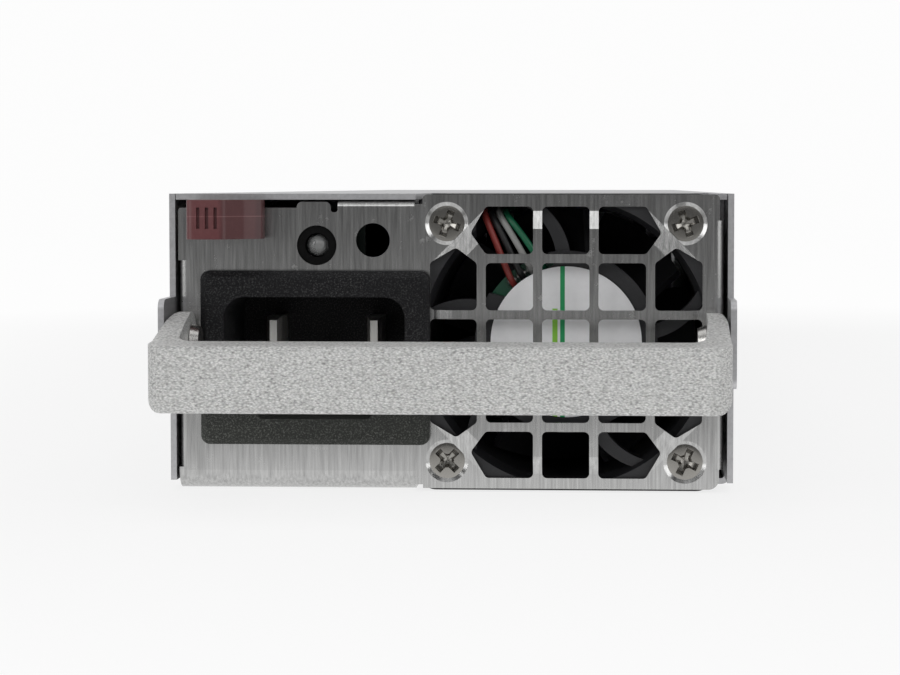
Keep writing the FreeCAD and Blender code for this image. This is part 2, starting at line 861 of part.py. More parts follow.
def blade(angle, middle_y):
    """Twisted cambered blade between two flat sections, flatter at the tip than at the root."""
    turn = math.radians(angle)
    outward = V(math.cos(turn), 0, math.sin(turn))
    sideways = V(-math.sin(turn), 0, math.cos(turn))

    def section(radius, chord, pitch):
        slope = math.radians(pitch)
        along = sideways * math.cos(slope) + V(0, math.sin(slope), 0)
        across = sideways * -math.sin(slope) + V(0, math.cos(slope), 0)
        centre = V(fan_x, middle_y, fan_z) + outward * radius
        half = blade_thickness / 2
        rise = chord * blade_camber

        def at(share, offset):
            return centre + along * (share * chord) + across * offset

        edges = [
            Part.Arc(at(-0.5, half), at(0, rise + half), at(0.5, half)).toShape(),
            Part.makeLine(at(0.5, half), at(0.5, -half)),
            Part.Arc(at(0.5, -half), at(0, rise - half), at(-0.5, -half)).toShape(),
            Part.makeLine(at(-0.5, -half), at(-0.5, half)),
        ]
        return Part.Wire(edges)

    root = section(hub_radius * 0.75, blade_chord, 90 - blade_sweep)
    tip = section(fan_bore_radius + 1, blade_chord, 90 - blade_tip_sweep)
    return Part.makeLoft([root, tip], True, True)


def fan_magnet():
    y = hub_open_y() + 0.5
    length = hub_length - hub_wall - 4
    outer = hub_radius - hub_wall - fit_gap
    ring = rod_y(fan_x, y, fan_z, outer, length)
    return ring.cut(rod_y(fan_x, y - 1, fan_z, outer - magnet_thickness, length + 2))


def fan_shaft():
    end = hub_open_y() + hub_length - hub_wall
    start = panel_back + base_set_back + base_thickness + fan_board_thickness
    return rod_y(fan_x, start, fan_z, fan_shaft_radius, end - start)


def bearing_places():
    start = panel_back + base_set_back + base_thickness + fan_board_thickness
    return start + 0.5, start + hub_length - 8


def fan_bearings():
    rings = []
    for y in bearing_places():
        ring = rod_y(fan_x, y, fan_z, bearing_radius, bearing_width)
        bore = rod_y(fan_x, y - 1, fan_z, fan_shaft_radius + shaft_clearance, bearing_width + 2)
        rings.append(ring.cut(bore))
    return rings


def stator_reach():
    return hub_radius - hub_wall - fit_gap - magnet_thickness - stator_air_gap


def fan_stator():
    """Four pole laminated core on the bearing tube."""
    y = hub_open_y() + 1.5
    length = 8.0
    reach = stator_reach()
    core = rod_y(fan_x, y, fan_z, reach, length)
    rim = reach - 1.2
    for number in range(4):
        pocket = block(pole_half_width, rim, y - 1, y + length + 1, pole_half_width, rim)
        pocket = pocket.common(rod_y(0, y - 1, 0, rim, length + 2))
        pocket.rotate(V(0, 0, 0), V(0, 1, 0), number * 90)
        pocket.translate(V(fan_x, 0, fan_z))
        core = core.cut(pocket)
    core = core.fuse(rod_y(fan_x, y, fan_z, bearing_tube_radius + 1, length))
    return core.cut(rod_y(fan_x, y - 1, fan_z, bearing_tube_radius + fit_gap, length + 2)).removeSplitter()


def fan_windings():
    """One coil on each pole of the stator."""
    y = hub_open_y() + 0.6
    length = 9.8
    pole = stator_reach() - bearing_tube_radius
    low = bearing_tube_radius + pole * coil_start
    high = bearing_tube_radius + pole * coil_end
    inner = pole_half_width + fit_gap
    outer = 2 * pole_half_width
    coils = []
    for number in range(4):
        coil = block(-outer, outer, y, y + length, low, high)
        coil = coil.cut(block(-inner, inner, y + 0.85, y + length - 0.85, low - 1, high + 1))
        coil.rotate(V(0, 0, 0), V(0, 1, 0), number * 90)
        coil.translate(V(fan_x, 0, fan_z))
        coils.append(coil)
    return coils


def fan_screws():
    screws = []
    slope = (fan_dimple_radius - fan_dimple_root) / sheet
    sink = (fan_dimple_radius - fan_screw_head_radius) / slope
    for x, z in fan_corners():
        head = cone_y(
            x, front + sink, z, fan_screw_head_radius - fit_gap, fan_dimple_root - fit_gap, sheet - sink)
        shank = rod_y(x, front + sink, z, fan_screw_radius, fan_screw_length)
        screws.append(head.fuse(shank).removeSplitter())
    return screws


def fan_plug_place():
    return fan_x - 9.5, board_front + plug_stand_off / 2


def fan_lead(number):
    turn = math.radians(pad_first_angle - number * pad_angle_step)
    pad_y = panel_back + base_set_back + base_thickness - lead_radius
    pad = V(fan_x + pad_radius * math.cos(turn), pad_y, fan_z + pad_radius * math.sin(turn))
    x = fan_lead_x(number)
    top = fan_lead_top()
    plug_y = fan_plug_place()[1]
    plug_top = board_top + fan_header_height + fan_plug_head
    points = [
        pad, V(x, panel_back + 1.6, top), V(x, plug_y, top), V(x, plug_y, plug_top),
    ]
    return tube(points, lead_radius)


def fan_header():
    x, y = fan_plug_place()
    body = centred(x, y, board_top, fan_header_width, fan_header_length, fan_header_height)
    return body.cut(centred(
        x, y, board_top + fan_header_floor, fan_header_width - 2 * fan_header_wall,
        fan_header_length - 2 * fan_header_wall, fan_header_height))


def fan_plug():
    x, y = fan_plug_place()
    inside = fan_header_wall + fit_gap
    shank = centred(
        x, y, board_top + fan_header_floor, fan_header_width - 2 * inside, fan_header_length - 2 * inside,
        fan_header_height - fan_header_floor)
    head = centred(
        x, y, board_top + fan_header_height, fan_header_width - 2 * fan_plug_step,
        fan_header_length - 2 * fan_plug_step, fan_plug_head)
    return shank.fuse(head).removeSplitter()


def inlet_housing():
    """Snap-in inlet: bevelled flange, body behind the panel and the socket cavity."""
    flange_front = front - inlet_flange_thickness
    z = inlet_centre_height
    bevel = inlet_bevel
    body = front_prism(rectangle(
        inlet_x, z, inlet_width, inlet_height, inlet_corner), front, inlet_depth + sheet)
    plate = front_prism(rectangle(
        inlet_x, z, inlet_flange_width, inlet_flange_height, inlet_flange_corner),
        flange_front + bevel, inlet_flange_thickness - bevel)
    back = rectangle(inlet_x, z, inlet_flange_width, inlet_flange_height, inlet_flange_corner)
    face = rectangle(
        inlet_x, z, inlet_flange_width - 2 * bevel, inlet_flange_height - 2 * bevel, inlet_face_corner)
    wires = [
        outline(back, in_front_plane(flange_front + bevel)).OuterWire,
        outline(face, in_front_plane(flange_front)).OuterWire,
    ]
    housing = body.fuse([plate, Part.makeLoft(wires, True, True)])
    half = cavity_width / 2
    low = z - cavity_height / 2
    cavity = [
        (inlet_x - half + cavity_bevel, low, cavity_low_corner),
        (inlet_x + half - cavity_bevel, low, cavity_low_corner),
        (inlet_x + half, low + cavity_bevel, cavity_low_corner),
        (inlet_x + half, low + cavity_height, cavity_corner),
        (inlet_x - half, low + cavity_height, cavity_corner),
        (inlet_x - half, low + cavity_bevel, cavity_low_corner),
    ]
    housing = housing.cut(front_prism(cavity, flange_front - 1, cavity_depth + 1))
    for x, pin_z in inlet_pin_places():
        housing = housing.cut(front_prism(rectangle(
            x, pin_z, pin_width + 2 * fit_gap, pin_height + 2 * fit_gap, 0), front, inlet_depth + 2))
    for side in (-1, 1):
        clip = [
            (inlet_x + side * inlet_width / 2, panel_back + clip_start, 0),
            (inlet_x + side * (inlet_width / 2 + clip_rise), panel_back + clip_start, 0),
            (inlet_x + side * inlet_width / 2, panel_back + clip_end, 0),
        ]
        housing = housing.fuse(plan_prism(clip, z - clip_height / 2, clip_height))
    return housing.removeSplitter()


def inlet_pin_places():
    """Line, neutral and earth, seen from the front."""
    z = inlet_centre_height
    return (
        (inlet_x - pin_pitch / 2, z + pin_rise),
        (inlet_x + pin_pitch / 2, z + pin_rise),
        (inlet_x, z - earth_drop),
    )


def inlet_pin(number):
    x, z = inlet_pin_places()[number]
    tip = front + pin_recess
    length = inlet_back + pin_tail - tip
    pin = front_prism(rectangle(x, z, pin_width, pin_height, 0), tip + 1, length - 1)
    nose = [
        outline(rectangle(x, z, pin_width, pin_height, 0), in_front_plane(tip + 1)).OuterWire,
        outline(rectangle(x, z, pin_width * 0.5, pin_height * 0.75, 0), in_front_plane(tip)).OuterWire,
    ]
    return pin.fuse(Part.makeLoft(nose, True, True)).removeSplitter()


def inlet_lead(number):
    """Lead from the tail of one inlet pin, back over the board and down into it."""
    x, z = inlet_pin_places()[number]
    down_y = board_front + 9.0
    points = [V(x, inlet_back + pin_tail, z), V(x, down_y, z), V(x, down_y, board_top)]
    return tube(points, inlet_lead_radius)


def light_holder():
    outer = light_hole_radius - 0.08
    y = front + 0.25
    holder = rod_y(light_x, y, light_height, outer, light_depth)
    holder = holder.fuse(rod_y(light_x, panel_back, light_height, outer + light_wall, 1.2))
    bore = rod_y(light_x, y - 1, light_height, light_radius + fit_gap, light_depth + 2)
    return holder.cut(bore).removeSplitter()


def status_light():
    """Small domed lamp in its holder, on two legs."""
    back = front + 0.25 + light_depth
    dome = front + 0.4
    lamp = Part.makeSphere(light_radius, V(light_x, dome + light_radius, light_height))
    shank_front = dome + light_radius
    lamp = lamp.fuse(rod_y(light_x, shank_front, light_height, light_radius, back - shank_front))
    return lamp.removeSplitter()


def light_board():
    back = front + light_board_gap + light_depth
    return block(
        light_x - light_board_half, light_x + light_board_half, back, back + light_board_thickness,
        light_height - light_board_foot, light_height + light_board_head)


def handle():
    """Cast bail at rest: upright bar, arms that slope down to it from round bosses, and heels on the panel."""
    outer = wall_inside - handle_side_gap
    bar_front = pivot_y - handle_reach
    bar_back = bar_front + handle_bar_depth
    bar_foot = pivot_height - handle_bar_drop - handle_bar_height / 2
    bar_head = bar_foot + handle_bar_height
    behind = pivot_y + handle_boss_radius + 1
    boss_top = pivot_height + handle_boss_radius
    plan = [
        (-outer, behind, 0), (-outer, bar_front, handle_corner),
        (outer, bar_front, handle_corner), (outer, behind, 0),
        (outer - handle_arm_tip, behind, 0), (outer - handle_arm_tip, pivot_y - handle_boss_radius, 4.0),
        (outer - handle_arm_root, bar_back, 2.0), (-outer + handle_arm_root, bar_back, 2.0),
        (-outer + handle_arm_tip, pivot_y - handle_boss_radius, 4.0), (-outer + handle_arm_tip, behind, 0),
    ]
    bail = plan_prism(plan, bar_foot, boss_top - bar_foot)
    side = [
        (bar_front, bar_foot, handle_edge), (bar_front, bar_head, handle_edge),
        (bar_back, bar_head + handle_bar_slope, 0), (pivot_y, boss_top, 0),
        (pivot_y, pivot_height - handle_boss_radius, 0), (bar_back, bar_foot, handle_edge),
    ]
    silhouette = side_prism(side, -outer, 2 * outer)
    silhouette = silhouette.fuse(rod_x(-outer, pivot_y, pivot_height, handle_boss_radius, 2 * outer))
    face = front_prism([
        (-outer, bar_foot, handle_foot_corner), (outer, bar_foot, handle_foot_corner),
        (outer, boss_top, handle_shoulder), (-outer, boss_top, handle_shoulder)], bar_front, behind - bar_front)
    bail = bail.common(silhouette).common(face)
    heel_back = front - handle_heel_gap
    heel_profile = [
        (pivot_y, pivot_height - handle_heel_drop, 0), (heel_back, pivot_height - handle_heel_drop, 0.6),
        (heel_back, pivot_height, 0), (pivot_y, pivot_height, 0),
    ]
    for sign in (-1, 1):
        x_low = -outer if sign < 0 else outer - handle_arm_tip
        bail = bail.fuse(side_prism(heel_profile, x_low, handle_arm_tip))
    bail = bail.cut(rod_x(-outer - 1, pivot_y, pivot_height, rivet_radius + rivet_clearance, 2 * outer + 2))
    return bail.removeSplitter()


def handle_rivets():
    """Flush at the ear's outside, with a round head inside each arm."""
    outer = wall_inside - handle_side_gap
    head_at = outer - handle_arm_tip - 0.1
    rivets = []
    for side in (-1, 1):
        start = V(side * half_width, pivot_y, pivot_height)
        inward = V(-side, 0, 0)
        shank = Part.makeCylinder(rivet_radius, half_width - head_at, start, inward)
        head = Part.makeCone(
            rivet_head_radius, rivet_head_radius - 0.4, rivet_head_height,
            V(side * head_at, pivot_y, pivot_height), inward)
        rivets.append(shank.fuse(head).removeSplitter())
    return rivets


def latch_lever():
    """Flat steel arm with an eye for the pin and a tooth that catches the bay."""
    thumb_end = front + latch_front_reach
    arm = block(
        latch_x - latch_thickness / 2, latch_x + latch_thickness / 2,
        thumb_end - latch_grip, latch_pin_y, latch_bottom, latch_bottom + latch_height)
    arm = arm.fuse(rod_z(latch_x, latch_pin_y, latch_bottom, latch_eye_radius, latch_height))
    tooth_y = latch_pin_y - tooth_from_pin
    tooth = [
        (latch_x, tooth_y - tooth_length / 2, 0),
        (-half_width - tooth_proud, tooth_y - tooth_length / 2, tooth_corner),
        (-half_width - tooth_proud, tooth_y - tooth_length / 2 + tooth_nose, tooth_corner),
        (-half_width + tooth_corner, tooth_y + tooth_length / 2, 0), (latch_x, tooth_y + tooth_length / 2, 0),
    ]
    arm = arm.fuse(plan_prism(tooth, latch_bottom + (latch_height - tooth_height) / 2, tooth_height))
    hole = rod_z(
        latch_x, latch_pin_y, latch_bottom - 1, latch_pin_radius + latch_pin_clearance, latch_height + 2)
    return arm.cut(hole).removeSplitter()


def thumb_tab():
    """Moulded thumb piece in front of the panel, with a neck through it that grips the lever."""
    tip = front - thumb_reach
    back = front - thumb_panel_gap
    shoulder = back - thumb_shoulder
    pad_right = thumb_left + thumb_pad_width
    plan = [
        (thumb_left, back, 0), (thumb_left, tip, thumb_corner), (pad_right, tip, thumb_corner),
        (thumb_left + thumb_width * thumb_shoulder_share,
         shoulder - thumb_shoulder_fall, thumb_shoulder_corner),
        (thumb_left + thumb_width, shoulder, 0.5),
        (thumb_left + thumb_width, back, 0.3),
    ]
    tab = plan_prism(plan, thumb_bottom, thumb_top - thumb_bottom)
    for number in range(thumb_slots):
        x = thumb_left + thumb_slot_first + number * thumb_slot_pitch
        tab = tab.cut(block(
            x, x + thumb_slot_width, tip - 1, tip + thumb_slot_depth,
            thumb_bottom + thumb_slot_foot, thumb_top - thumb_slot_head))
    neck_end = front + thumb_neck_reach
    neck = block(
        thumb_left, thumb_left + thumb_neck_width, back - 1, neck_end,
        latch_bottom, latch_bottom + latch_height)
    tab = tab.fuse(neck)
    socket = block(
        latch_x - latch_thickness / 2, latch_x + latch_thickness / 2, front - latch_front_reach, neck_end + 1,
        latch_bottom, latch_bottom + latch_height)
    return tab.cut(socket).removeSplitter()


def latch_bracket():
    """Shelf welded inside the wall, which holds the pin and the end of the leaf spring."""
    y_low = latch_pin_y - latch_shelf_length / 2
    y_high = latch_pin_y + latch_shelf_length / 2
    shelf_top = latch_bottom - latch_shelf_gap
    x_right = latch_x + latch_eye_radius + latch_shelf_margin
    foot = block(-wall_inside, -wall_inside + sheet, y_low, y_high, shelf_top - latch_foot_height, shelf_top)
    shelf = block(-wall_inside, x_right, y_low, y_high, shelf_top - sheet, shelf_top)
    stop_top = latch_bottom + latch_height - latch_stop_drop
    stop = block(x_right - sheet, x_right, y_low, y_high, shelf_top - sheet, stop_top)
    bracket = foot.fuse([shelf, stop])
    hole = rod_z(latch_x, latch_pin_y, shelf_top - 2 * sheet, latch_pin_radius - fit_gap, 3 * sheet)
    return bracket.cut(hole).removeSplitter()


def latch_pin():
    low = latch_bottom - latch_shelf_gap - sheet
    top = latch_bottom + latch_height + latch_play
    shank_foot = latch_bottom - latch_play
    pin = rod_z(latch_x, latch_pin_y, low, latch_pin_radius - fit_gap, sheet + latch_shelf_gap)
    pin = pin.fuse(rod_z(latch_x, latch_pin_y, shank_foot, latch_pin_radius, top - shank_foot))
    head = rod_z(latch_x, latch_pin_y, top, latch_pin_radius + latch_pin_head_rim, latch_pin_head)
    return pin.fuse(head).removeSplitter()


def latch_spring():
    """Leaf from the bracket to the lever, which pushes the tooth out."""
    x_right = latch_x + latch_eye_radius + latch_shelf_margin - sheet
    touch = latch_x + latch_thickness / 2 + spring_touch_gap
    tip_y = latch_pin_y - tooth_from_pin + spring_set
    held_y = latch_pin_y + spring_foot
    turn_y = latch_pin_y - spring_straight
    corners = [
        (x_right - spring_thickness, held_y, 0), (x_right - spring_thickness, turn_y, spring_corner),
        (touch, tip_y, 0), (touch + spring_thickness, tip_y, 0),
        (x_right, turn_y, spring_corner), (x_right, held_y, 0),
    ]
    return plan_prism(corners, latch_bottom + spring_rise, latch_height - spring_height_drop)


def main_board():
    board = block(-board_half, board_half, board_front, board_rear, board_bottom, board_top)
    for x, y in standoff_places():
        board = board.cut(rod_z(x, y, board_bottom - 1, board_screw_radius + fit_gap, board_thickness + 2))
    return board


def insulating_film():
    half = board_half - standoff_inset - standoff_radius - film_gap
    return block(-half, half, board_front + film_gap, board_rear - film_gap, sheet, sheet + film_thickness)


def standoffs():
    """Hexagonal posts on the floor, bored for the board screws."""
    posts = []
    for x, y in standoff_places():
        corners = []
        for number in range(6):
            turn = number * math.pi / 3
            corners.append((x + standoff_radius * math.cos(turn), y + standoff_radius * math.sin(turn), 0))
        post = plan_prism(corners, sheet, board_lift)
        posts.append(post.cut(rod_z(x, y, sheet - 1, board_screw_radius + fit_gap, board_lift + 2)))
    return posts


def board_screws():
    screws = []
    for x, y in standoff_places():
        shank = rod_z(x, y, 2.0, board_screw_radius, board_top - 2.0)
        screws.append(shank.fuse(rod_z(x, y, board_top, board_screw_head_radius, board_screw_head_height)))
    return screws


def fuse_link():
    """Glass fuse lying in its two clips."""
    y = station(0.27)
    radius = 0.075 * row
    lift = 1.8 * radius
    reach = 0.28 * column
    link = rod_x(column_left - reach, y, board_top + lift, radius, 2 * reach)
    for side in (-1, 1):
        link = link.fuse(centred(
            column_left + side * 0.75 * reach, y, board_top, 0.3 * reach, 2.6 * radius, lift))
    return link.removeSplitter()


def filter_capacitors():
    return [
        centred(column_right, station(place), board_top, 0.73 * column, 0.26 * row, 0.57 * rise)
        for place in (0.18, 0.94)]


def filter_chokes():
    return [round_core(column_left, station(place), 0.38 * bay, 0.18 * bay, 0.5 * rise) for place in (1, 2)]


def inrush_relay():
    return centred(column_right, station(1.3), board_top, 0.56 * column, 0.3 * row, 0.52 * rise)


def bridge_rectifier():
    """Flat package standing on four legs."""
    y = station(1.67)
    lift = 0.13 * rise
    body = centred(column_right, y, board_top + lift, 0.73 * column, 0.14 * row, 0.6 * rise)
    for share in (-0.28, -0.1, 0.1, 0.28):
        leg = centred(column_right + share * column, y, board_top, 0.045 * column, 0.024 * row, lift)
        body = body.fuse(leg)
    return body.removeSplitter()


def boost_choke():
    return round_core(column_right, station(2.17), 0.36 * bay, 0.15 * bay, 0.67 * rise)


def storage_capacitors():
    """Two tall cans, the largest that fit under the lid."""
    return [rod_z(column_left, station(place), board_top, 0.38 * bay, rise) for place in (3, 4)]


def finned_plate(y_low, y_high, height, fin_count):
    """Upright aluminium plate with fins on its outer side."""
    thickness = 0.085 * column
    reach = 0.225 * column
    fin = 0.067 * rise
    plate = block(sink_x, sink_x + thickness, y_low, y_high, board_top, board_top + height)
    step = (height - fin) / (fin_count - 1)
    for number in range(fin_count):
        z = board_top + number * step
        plate = plate.fuse(block(sink_x + thickness, sink_x + thickness + reach, y_low, y_high, z, z + fin))
    return plate.removeSplitter()


def primary_heat_sink():
    return finned_plate(station(2.6), station(4.62), 0.97 * rise, 6)


def power_transistors():
    """Four flat packages against the plate, each on three legs."""
    parts = []
    thickness = 0.135 * column
    lift = 0.167 * rise
    for number in range(4):
        y = station(2.86 + number / 2)
        body = centred(sink_x - thickness / 2, y, board_top + lift, thickness, 0.47 * row, 0.67 * rise)
        for share in (-0.16, 0, 0.16):
            leg = centred(
                sink_x - thickness / 2, y + share * row, board_top, 0.023 * column, 0.036 * row, lift)
            body = body.fuse(leg)
        parts.append(body.removeSplitter())
    return parts


def wound_transformer(x, y, width, length, height):
    """Ferrite core around a wound bobbin."""
    core = centred(x, y, board_top + 0.1 * height, width, 0.45 * length, 0.8 * height)
    return core.fuse(centred(x, y, board_top, 0.66 * width, length, height)).removeSplitter()


def main_transformer():
    return wound_transformer(column_left, station(5), 0.9 * column, 0.82 * row, 0.93 * rise)


def standby_transformer():
    return wound_transformer(column_right + 0.14 * column, station(5), 0.53 * column, 0.48 * row, 0.6 * rise)


def output_choke():
    return round_core(column_left, station(6), 0.38 * bay, 0.15 * bay, 0.47 * rise)


def secondary_heat_sink():
    return finned_plate(station(5.6), station(6.4), 0.87 * rise, 5)


def output_capacitors():
    cans = []
    for side in (-1, 1):
        for number in range(3):
            x = side * (0.82 - 0.31 * number) * column
            cans.append(rod_z(x, station(6.76), board_top, 0.14 * bay, 0.73 * rise))
    return cans


def control_card():
    """Upright card between the two columns, with its chips."""
    half = board_thickness / 2
    card = block(-half, half, station(2.64), station(4.82), board_top, board_top + 0.8 * rise)
    for place in (3, 4):
        chip = block(
            half, 2 * half + half, station(place - 0.15), station(place + 0.15),
            board_top + 0.3 * rise, board_top + 0.53 * rise)
        card = card.fuse(chip)
    return card.removeSplitter()


def connector_power_places():
    first = -connector_width / 2 + 6.0
    return [first + number * power_blade_pitch for number in range(blade_pairs)]


def connector_signal_places():
    x_first = connector_width / 2 - 5.0 - (signal_columns - 1) * signal_pitch
    z_first = board_top + connector_height / 2 - (signal_rows - 1) * signal_pitch / 2
    return [
        (x_first + column * signal_pitch, z_first + row * signal_pitch)
        for column in range(signal_columns) for row in range(signal_rows)]


def connector_housing():
    """Moulded block through the rear panel, with a slot for each blade and a well of pins."""
    back = rear + connector_proud
    z = board_top + connector_height / 2
    nose = connector_nose
    body = block(
        -connector_width / 2, connector_width / 2, back - connector_depth, back - nose,
        board_top, board_top + connector_height)
    wires = [
        outline(rectangle(0, z, connector_width, connector_height, 0), in_front_plane(back - nose)).OuterWire,
        outline(
            rectangle(0, z, connector_width - 2 * nose, connector_height - 1.6, 0),
            in_front_plane(back)).OuterWire,
    ]
    body = body.fuse(Part.makeLoft(wires, True, True))
    for x in connector_power_places():
        body = body.cut(front_prism(
            rectangle(x, z, power_slot_width, power_slot_height, 0),
            back - contact_slot_depth, contact_slot_depth + 1))
    places = connector_signal_places()
    xs = [place[0] for place in places]
    zs = [place[1] for place in places]
    well = signal_wall
    body = body.cut(block(
        min(xs) - well, max(xs) + well, back - contact_slot_depth, back + 1, min(zs) - well, max(zs) + well))
    return body.removeSplitter()


def power_blades():
    back = rear + connector_proud
    z = board_top + connector_height / 2
    return [
        front_prism(
            rectangle(x, z, power_blade_width, power_blade_height, 0),
            back - contact_slot_depth, contact_slot_depth - 1.5)
        for x in connector_power_places()]


def signal_pins():
    back = rear + connector_proud
    return [
        front_prism(
            rectangle(x, z, signal_pin, signal_pin, 0), back - contact_slot_depth, contact_slot_depth - 2.0)
        for x, z in connector_signal_places()]


pieces = {
    "base_tray": base_tray,
    "front_panel": front_panel,
    "top_cover": top_cover,
    "lid_screws": lid_screws,
    "rear_panel": rear_panel,
    "fan_frame": fan_frame,
    "fan_board": fan_board,
    "fan_label": fan_label,
    "fan_rotor": fan_rotor,
    "fan_magnet": fan_magnet,
    "fan_shaft": fan_shaft,
    "fan_bearings": fan_bearings,
    "fan_stator": fan_stator,
    "fan_windings": fan_windings,
    "fan_screws": fan_screws,
    "fan_lead_red": lambda: fan_lead(0),
    "fan_lead_black": lambda: fan_lead(1),
    "fan_lead_white": lambda: fan_lead(2),
    "fan_lead_green": lambda: fan_lead(3),
    "fan_header": fan_header,
    "fan_plug": fan_plug,
    "inlet_housing": inlet_housing,
    "inlet_pin_line": lambda: inlet_pin(0),
    "inlet_pin_neutral": lambda: inlet_pin(1),
    "inlet_pin_earth": lambda: inlet_pin(2),
    "inlet_lead_line": lambda: inlet_lead(0),
    "inlet_lead_neutral": lambda: inlet_lead(1),
    "inlet_lead_earth": lambda: inlet_lead(2),
    "light_holder": light_holder,
    "status_light": status_light,
    "light_board": light_board,
    "handle": handle,
    "handle_rivets": handle_rivets,
    "latch_lever": latch_lever,
    "thumb_tab": thumb_tab,
    "latch_bracket": latch_bracket,
    "latch_pin": latch_pin,
    "latch_spring": latch_spring,
    "main_board": main_board,
    "insulating_film": insulating_film,
    "standoffs": standoffs,
    "board_screws": board_screws,
    "fuse_link": fuse_link,
    "filter_capacitors": filter_capacitors,
    "filter_chokes": filter_chokes,
    "inrush_relay": inrush_relay,
    "bridge_rectifier": bridge_rectifier,
    "boost_choke": boost_choke,
    "storage_capacitors": storage_capacitors,
    "primary_heat_sink": primary_heat_sink,
    "power_transistors": power_transistors,
    "main_transformer": main_transformer,
    "standby_transformer": standby_transformer,
    "output_choke": output_choke,
    "secondary_heat_sink": secondary_heat_sink,
    "output_capacitors": output_capacitors,
    "control_card": control_card,
    "connector_housing": connector_housing,
    "power_blades": power_blades,
    "signal_pins": signal_pins,
}

os.makedirs("parts", exist_ok=True)
for name, make in pieces.items():
    shape = make()
    if isinstance(shape, list):
        shape = Part.makeCompound(shape)
    shape.exportStep("parts/" + name + ".step")
    print(name, len(shape.Solids), "solids", "valid" if shape.isValid() else "NOT VALID", round(shape.Volume, 1))
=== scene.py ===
import json
import math

import bmesh
import bpy
from mathutils import Matrix, Vector

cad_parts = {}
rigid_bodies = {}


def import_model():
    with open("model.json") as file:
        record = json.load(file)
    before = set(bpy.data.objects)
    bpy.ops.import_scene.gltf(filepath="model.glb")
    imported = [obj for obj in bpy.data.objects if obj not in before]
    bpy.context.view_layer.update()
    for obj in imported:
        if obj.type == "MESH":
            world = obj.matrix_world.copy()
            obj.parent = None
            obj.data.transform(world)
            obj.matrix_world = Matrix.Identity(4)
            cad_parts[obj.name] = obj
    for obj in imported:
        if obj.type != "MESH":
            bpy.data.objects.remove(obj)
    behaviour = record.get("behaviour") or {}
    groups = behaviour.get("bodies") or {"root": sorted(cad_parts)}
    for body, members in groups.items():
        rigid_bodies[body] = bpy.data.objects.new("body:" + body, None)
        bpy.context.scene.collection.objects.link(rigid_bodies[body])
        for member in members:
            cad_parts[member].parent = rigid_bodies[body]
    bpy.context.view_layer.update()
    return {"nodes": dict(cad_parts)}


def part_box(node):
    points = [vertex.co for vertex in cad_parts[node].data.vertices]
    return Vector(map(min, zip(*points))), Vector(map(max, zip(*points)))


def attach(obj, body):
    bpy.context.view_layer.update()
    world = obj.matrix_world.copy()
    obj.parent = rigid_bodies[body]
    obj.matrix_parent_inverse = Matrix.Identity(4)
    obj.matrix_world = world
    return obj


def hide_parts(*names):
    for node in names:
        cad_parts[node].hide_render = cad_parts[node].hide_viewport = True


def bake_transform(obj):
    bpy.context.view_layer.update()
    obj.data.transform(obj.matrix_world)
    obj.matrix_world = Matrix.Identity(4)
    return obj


for leftover in list(bpy.data.objects):
    bpy.data.objects.remove(leftover)

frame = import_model()
nodes = frame["nodes"]

fan_low, fan_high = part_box("fan_frame")
fan_centre = Vector(((fan_low.x + fan_high.x) / 2, fan_low.y, (fan_low.z + fan_high.z) / 2))

# Marks on the finishes, with painted shade on the thumb tab and a painted floor reflection on the inlet, as
# places along an axis, in metres
label_long_stripe = (0.01475, 0.01538)
label_short_stripe = (0.01370, 0.01440)
label_short_stripe_top = 0.0245
tab_parting_line = (0.03695, 0.03706)
# Painted shade across the tab's slope: where it starts and where it deepens
tab_shade_start = (-0.0301, -0.0296)
tab_shade_deepens = (-0.0259, -0.0254)
# Heights over which the inlet's painted floor reflection comes in: none at the first, full at the second
inlet_painted_floor_light = (0.0165, 0.0080)

# Screw heads
screw_sides = 72
screw_rim = (
    (0.72, 0.00045), (0.985, 0.00010), (1.0, 0.00004), (0.985, 0.0), (0.90, -0.00003), (0.78, -0.00006))
cross_levels = ((1.06, -0.00006), (1.0, 0.00002), (0.86, 0.00050), (0.60, 0.00095))
cross_reach = 0.72
cross_half_width = 0.19
cross_inner = 0.36
cross_bottom = 0.00115
cross_bulge = 1.04
fan_screw_head_radius = 0.00246
fan_screw_solid_radius = 0.00237
lid_screw_head_radius = 0.00252
lid_screw_solid_radius = 0.0026

# Lips of the rear vents
vent_count = 8
vent_pitch = 0.008
lip_half_width = 0.0026
lip_top = 0.0316
lip_inset = 0.0008
lip_profile = ((0.0, 0.0), (0.0021, -0.0034), (0.0024, -0.0032), (0.0004, 0.0003))

# Leaf spring
spring_thickness = 0.00035
spring_held_length = 0.0070
spring_bend = 0.0018
bend_steps = 8
leaf_steps = 16

# Fan leads and their solder
lead_radius = 0.00045
lead_pitch = 0.00098
first_lead_offset = 0.0112
pad_circle = 0.0113
first_pad_angle = 132.0
pad_angle_step = 8.0
solder_radius = 0.00075
solder_sides = 20
solder_height = 0.8
solder_profile = ((1.0, 0.0), (0.92, 0.35), (0.70, 0.70), (0.40, 0.92))

# Studio paper
paper_half_width = 4.0
paper_front = -3.0
paper_back = 1.6
paper_top = 3.0
paper_bend = 0.5
paper_bend_steps = 16
paper_gap = 0.0002
object_half_width = 0.04
object_half_length = 0.156
shade_reach = 0.18
white_near = 0.80
white_gain = 0.17

# Light that polished metal sees on the paper, from front to back
near_pool_edge = (-0.22, -0.165)
near_pool_light = 0.42
far_pool_edge = (-1.5, -0.2)
far_pool_fade = 1.7
far_pool_light = 0.60
faintest_light = 0.03
lit_in_front = (-0.05, -0.15)
lit_behind = (0.3, 0.8)


# Shader parts

def group(name, inputs, outputs):
    tree = bpy.data.node_groups.new(name, "ShaderNodeTree")
    for label, kind, default in inputs:
        socket = tree.interface.new_socket(name=label, in_out="INPUT", socket_type=kind)
        socket.default_value = default
    for label, kind in outputs:
        tree.interface.new_socket(name=label, in_out="OUTPUT", socket_type=kind)
    return tree, tree.nodes.new("NodeGroupInput"), tree.nodes.new("NodeGroupOutput")


def link(tree, source, target):
    tree.links.new(source, target)


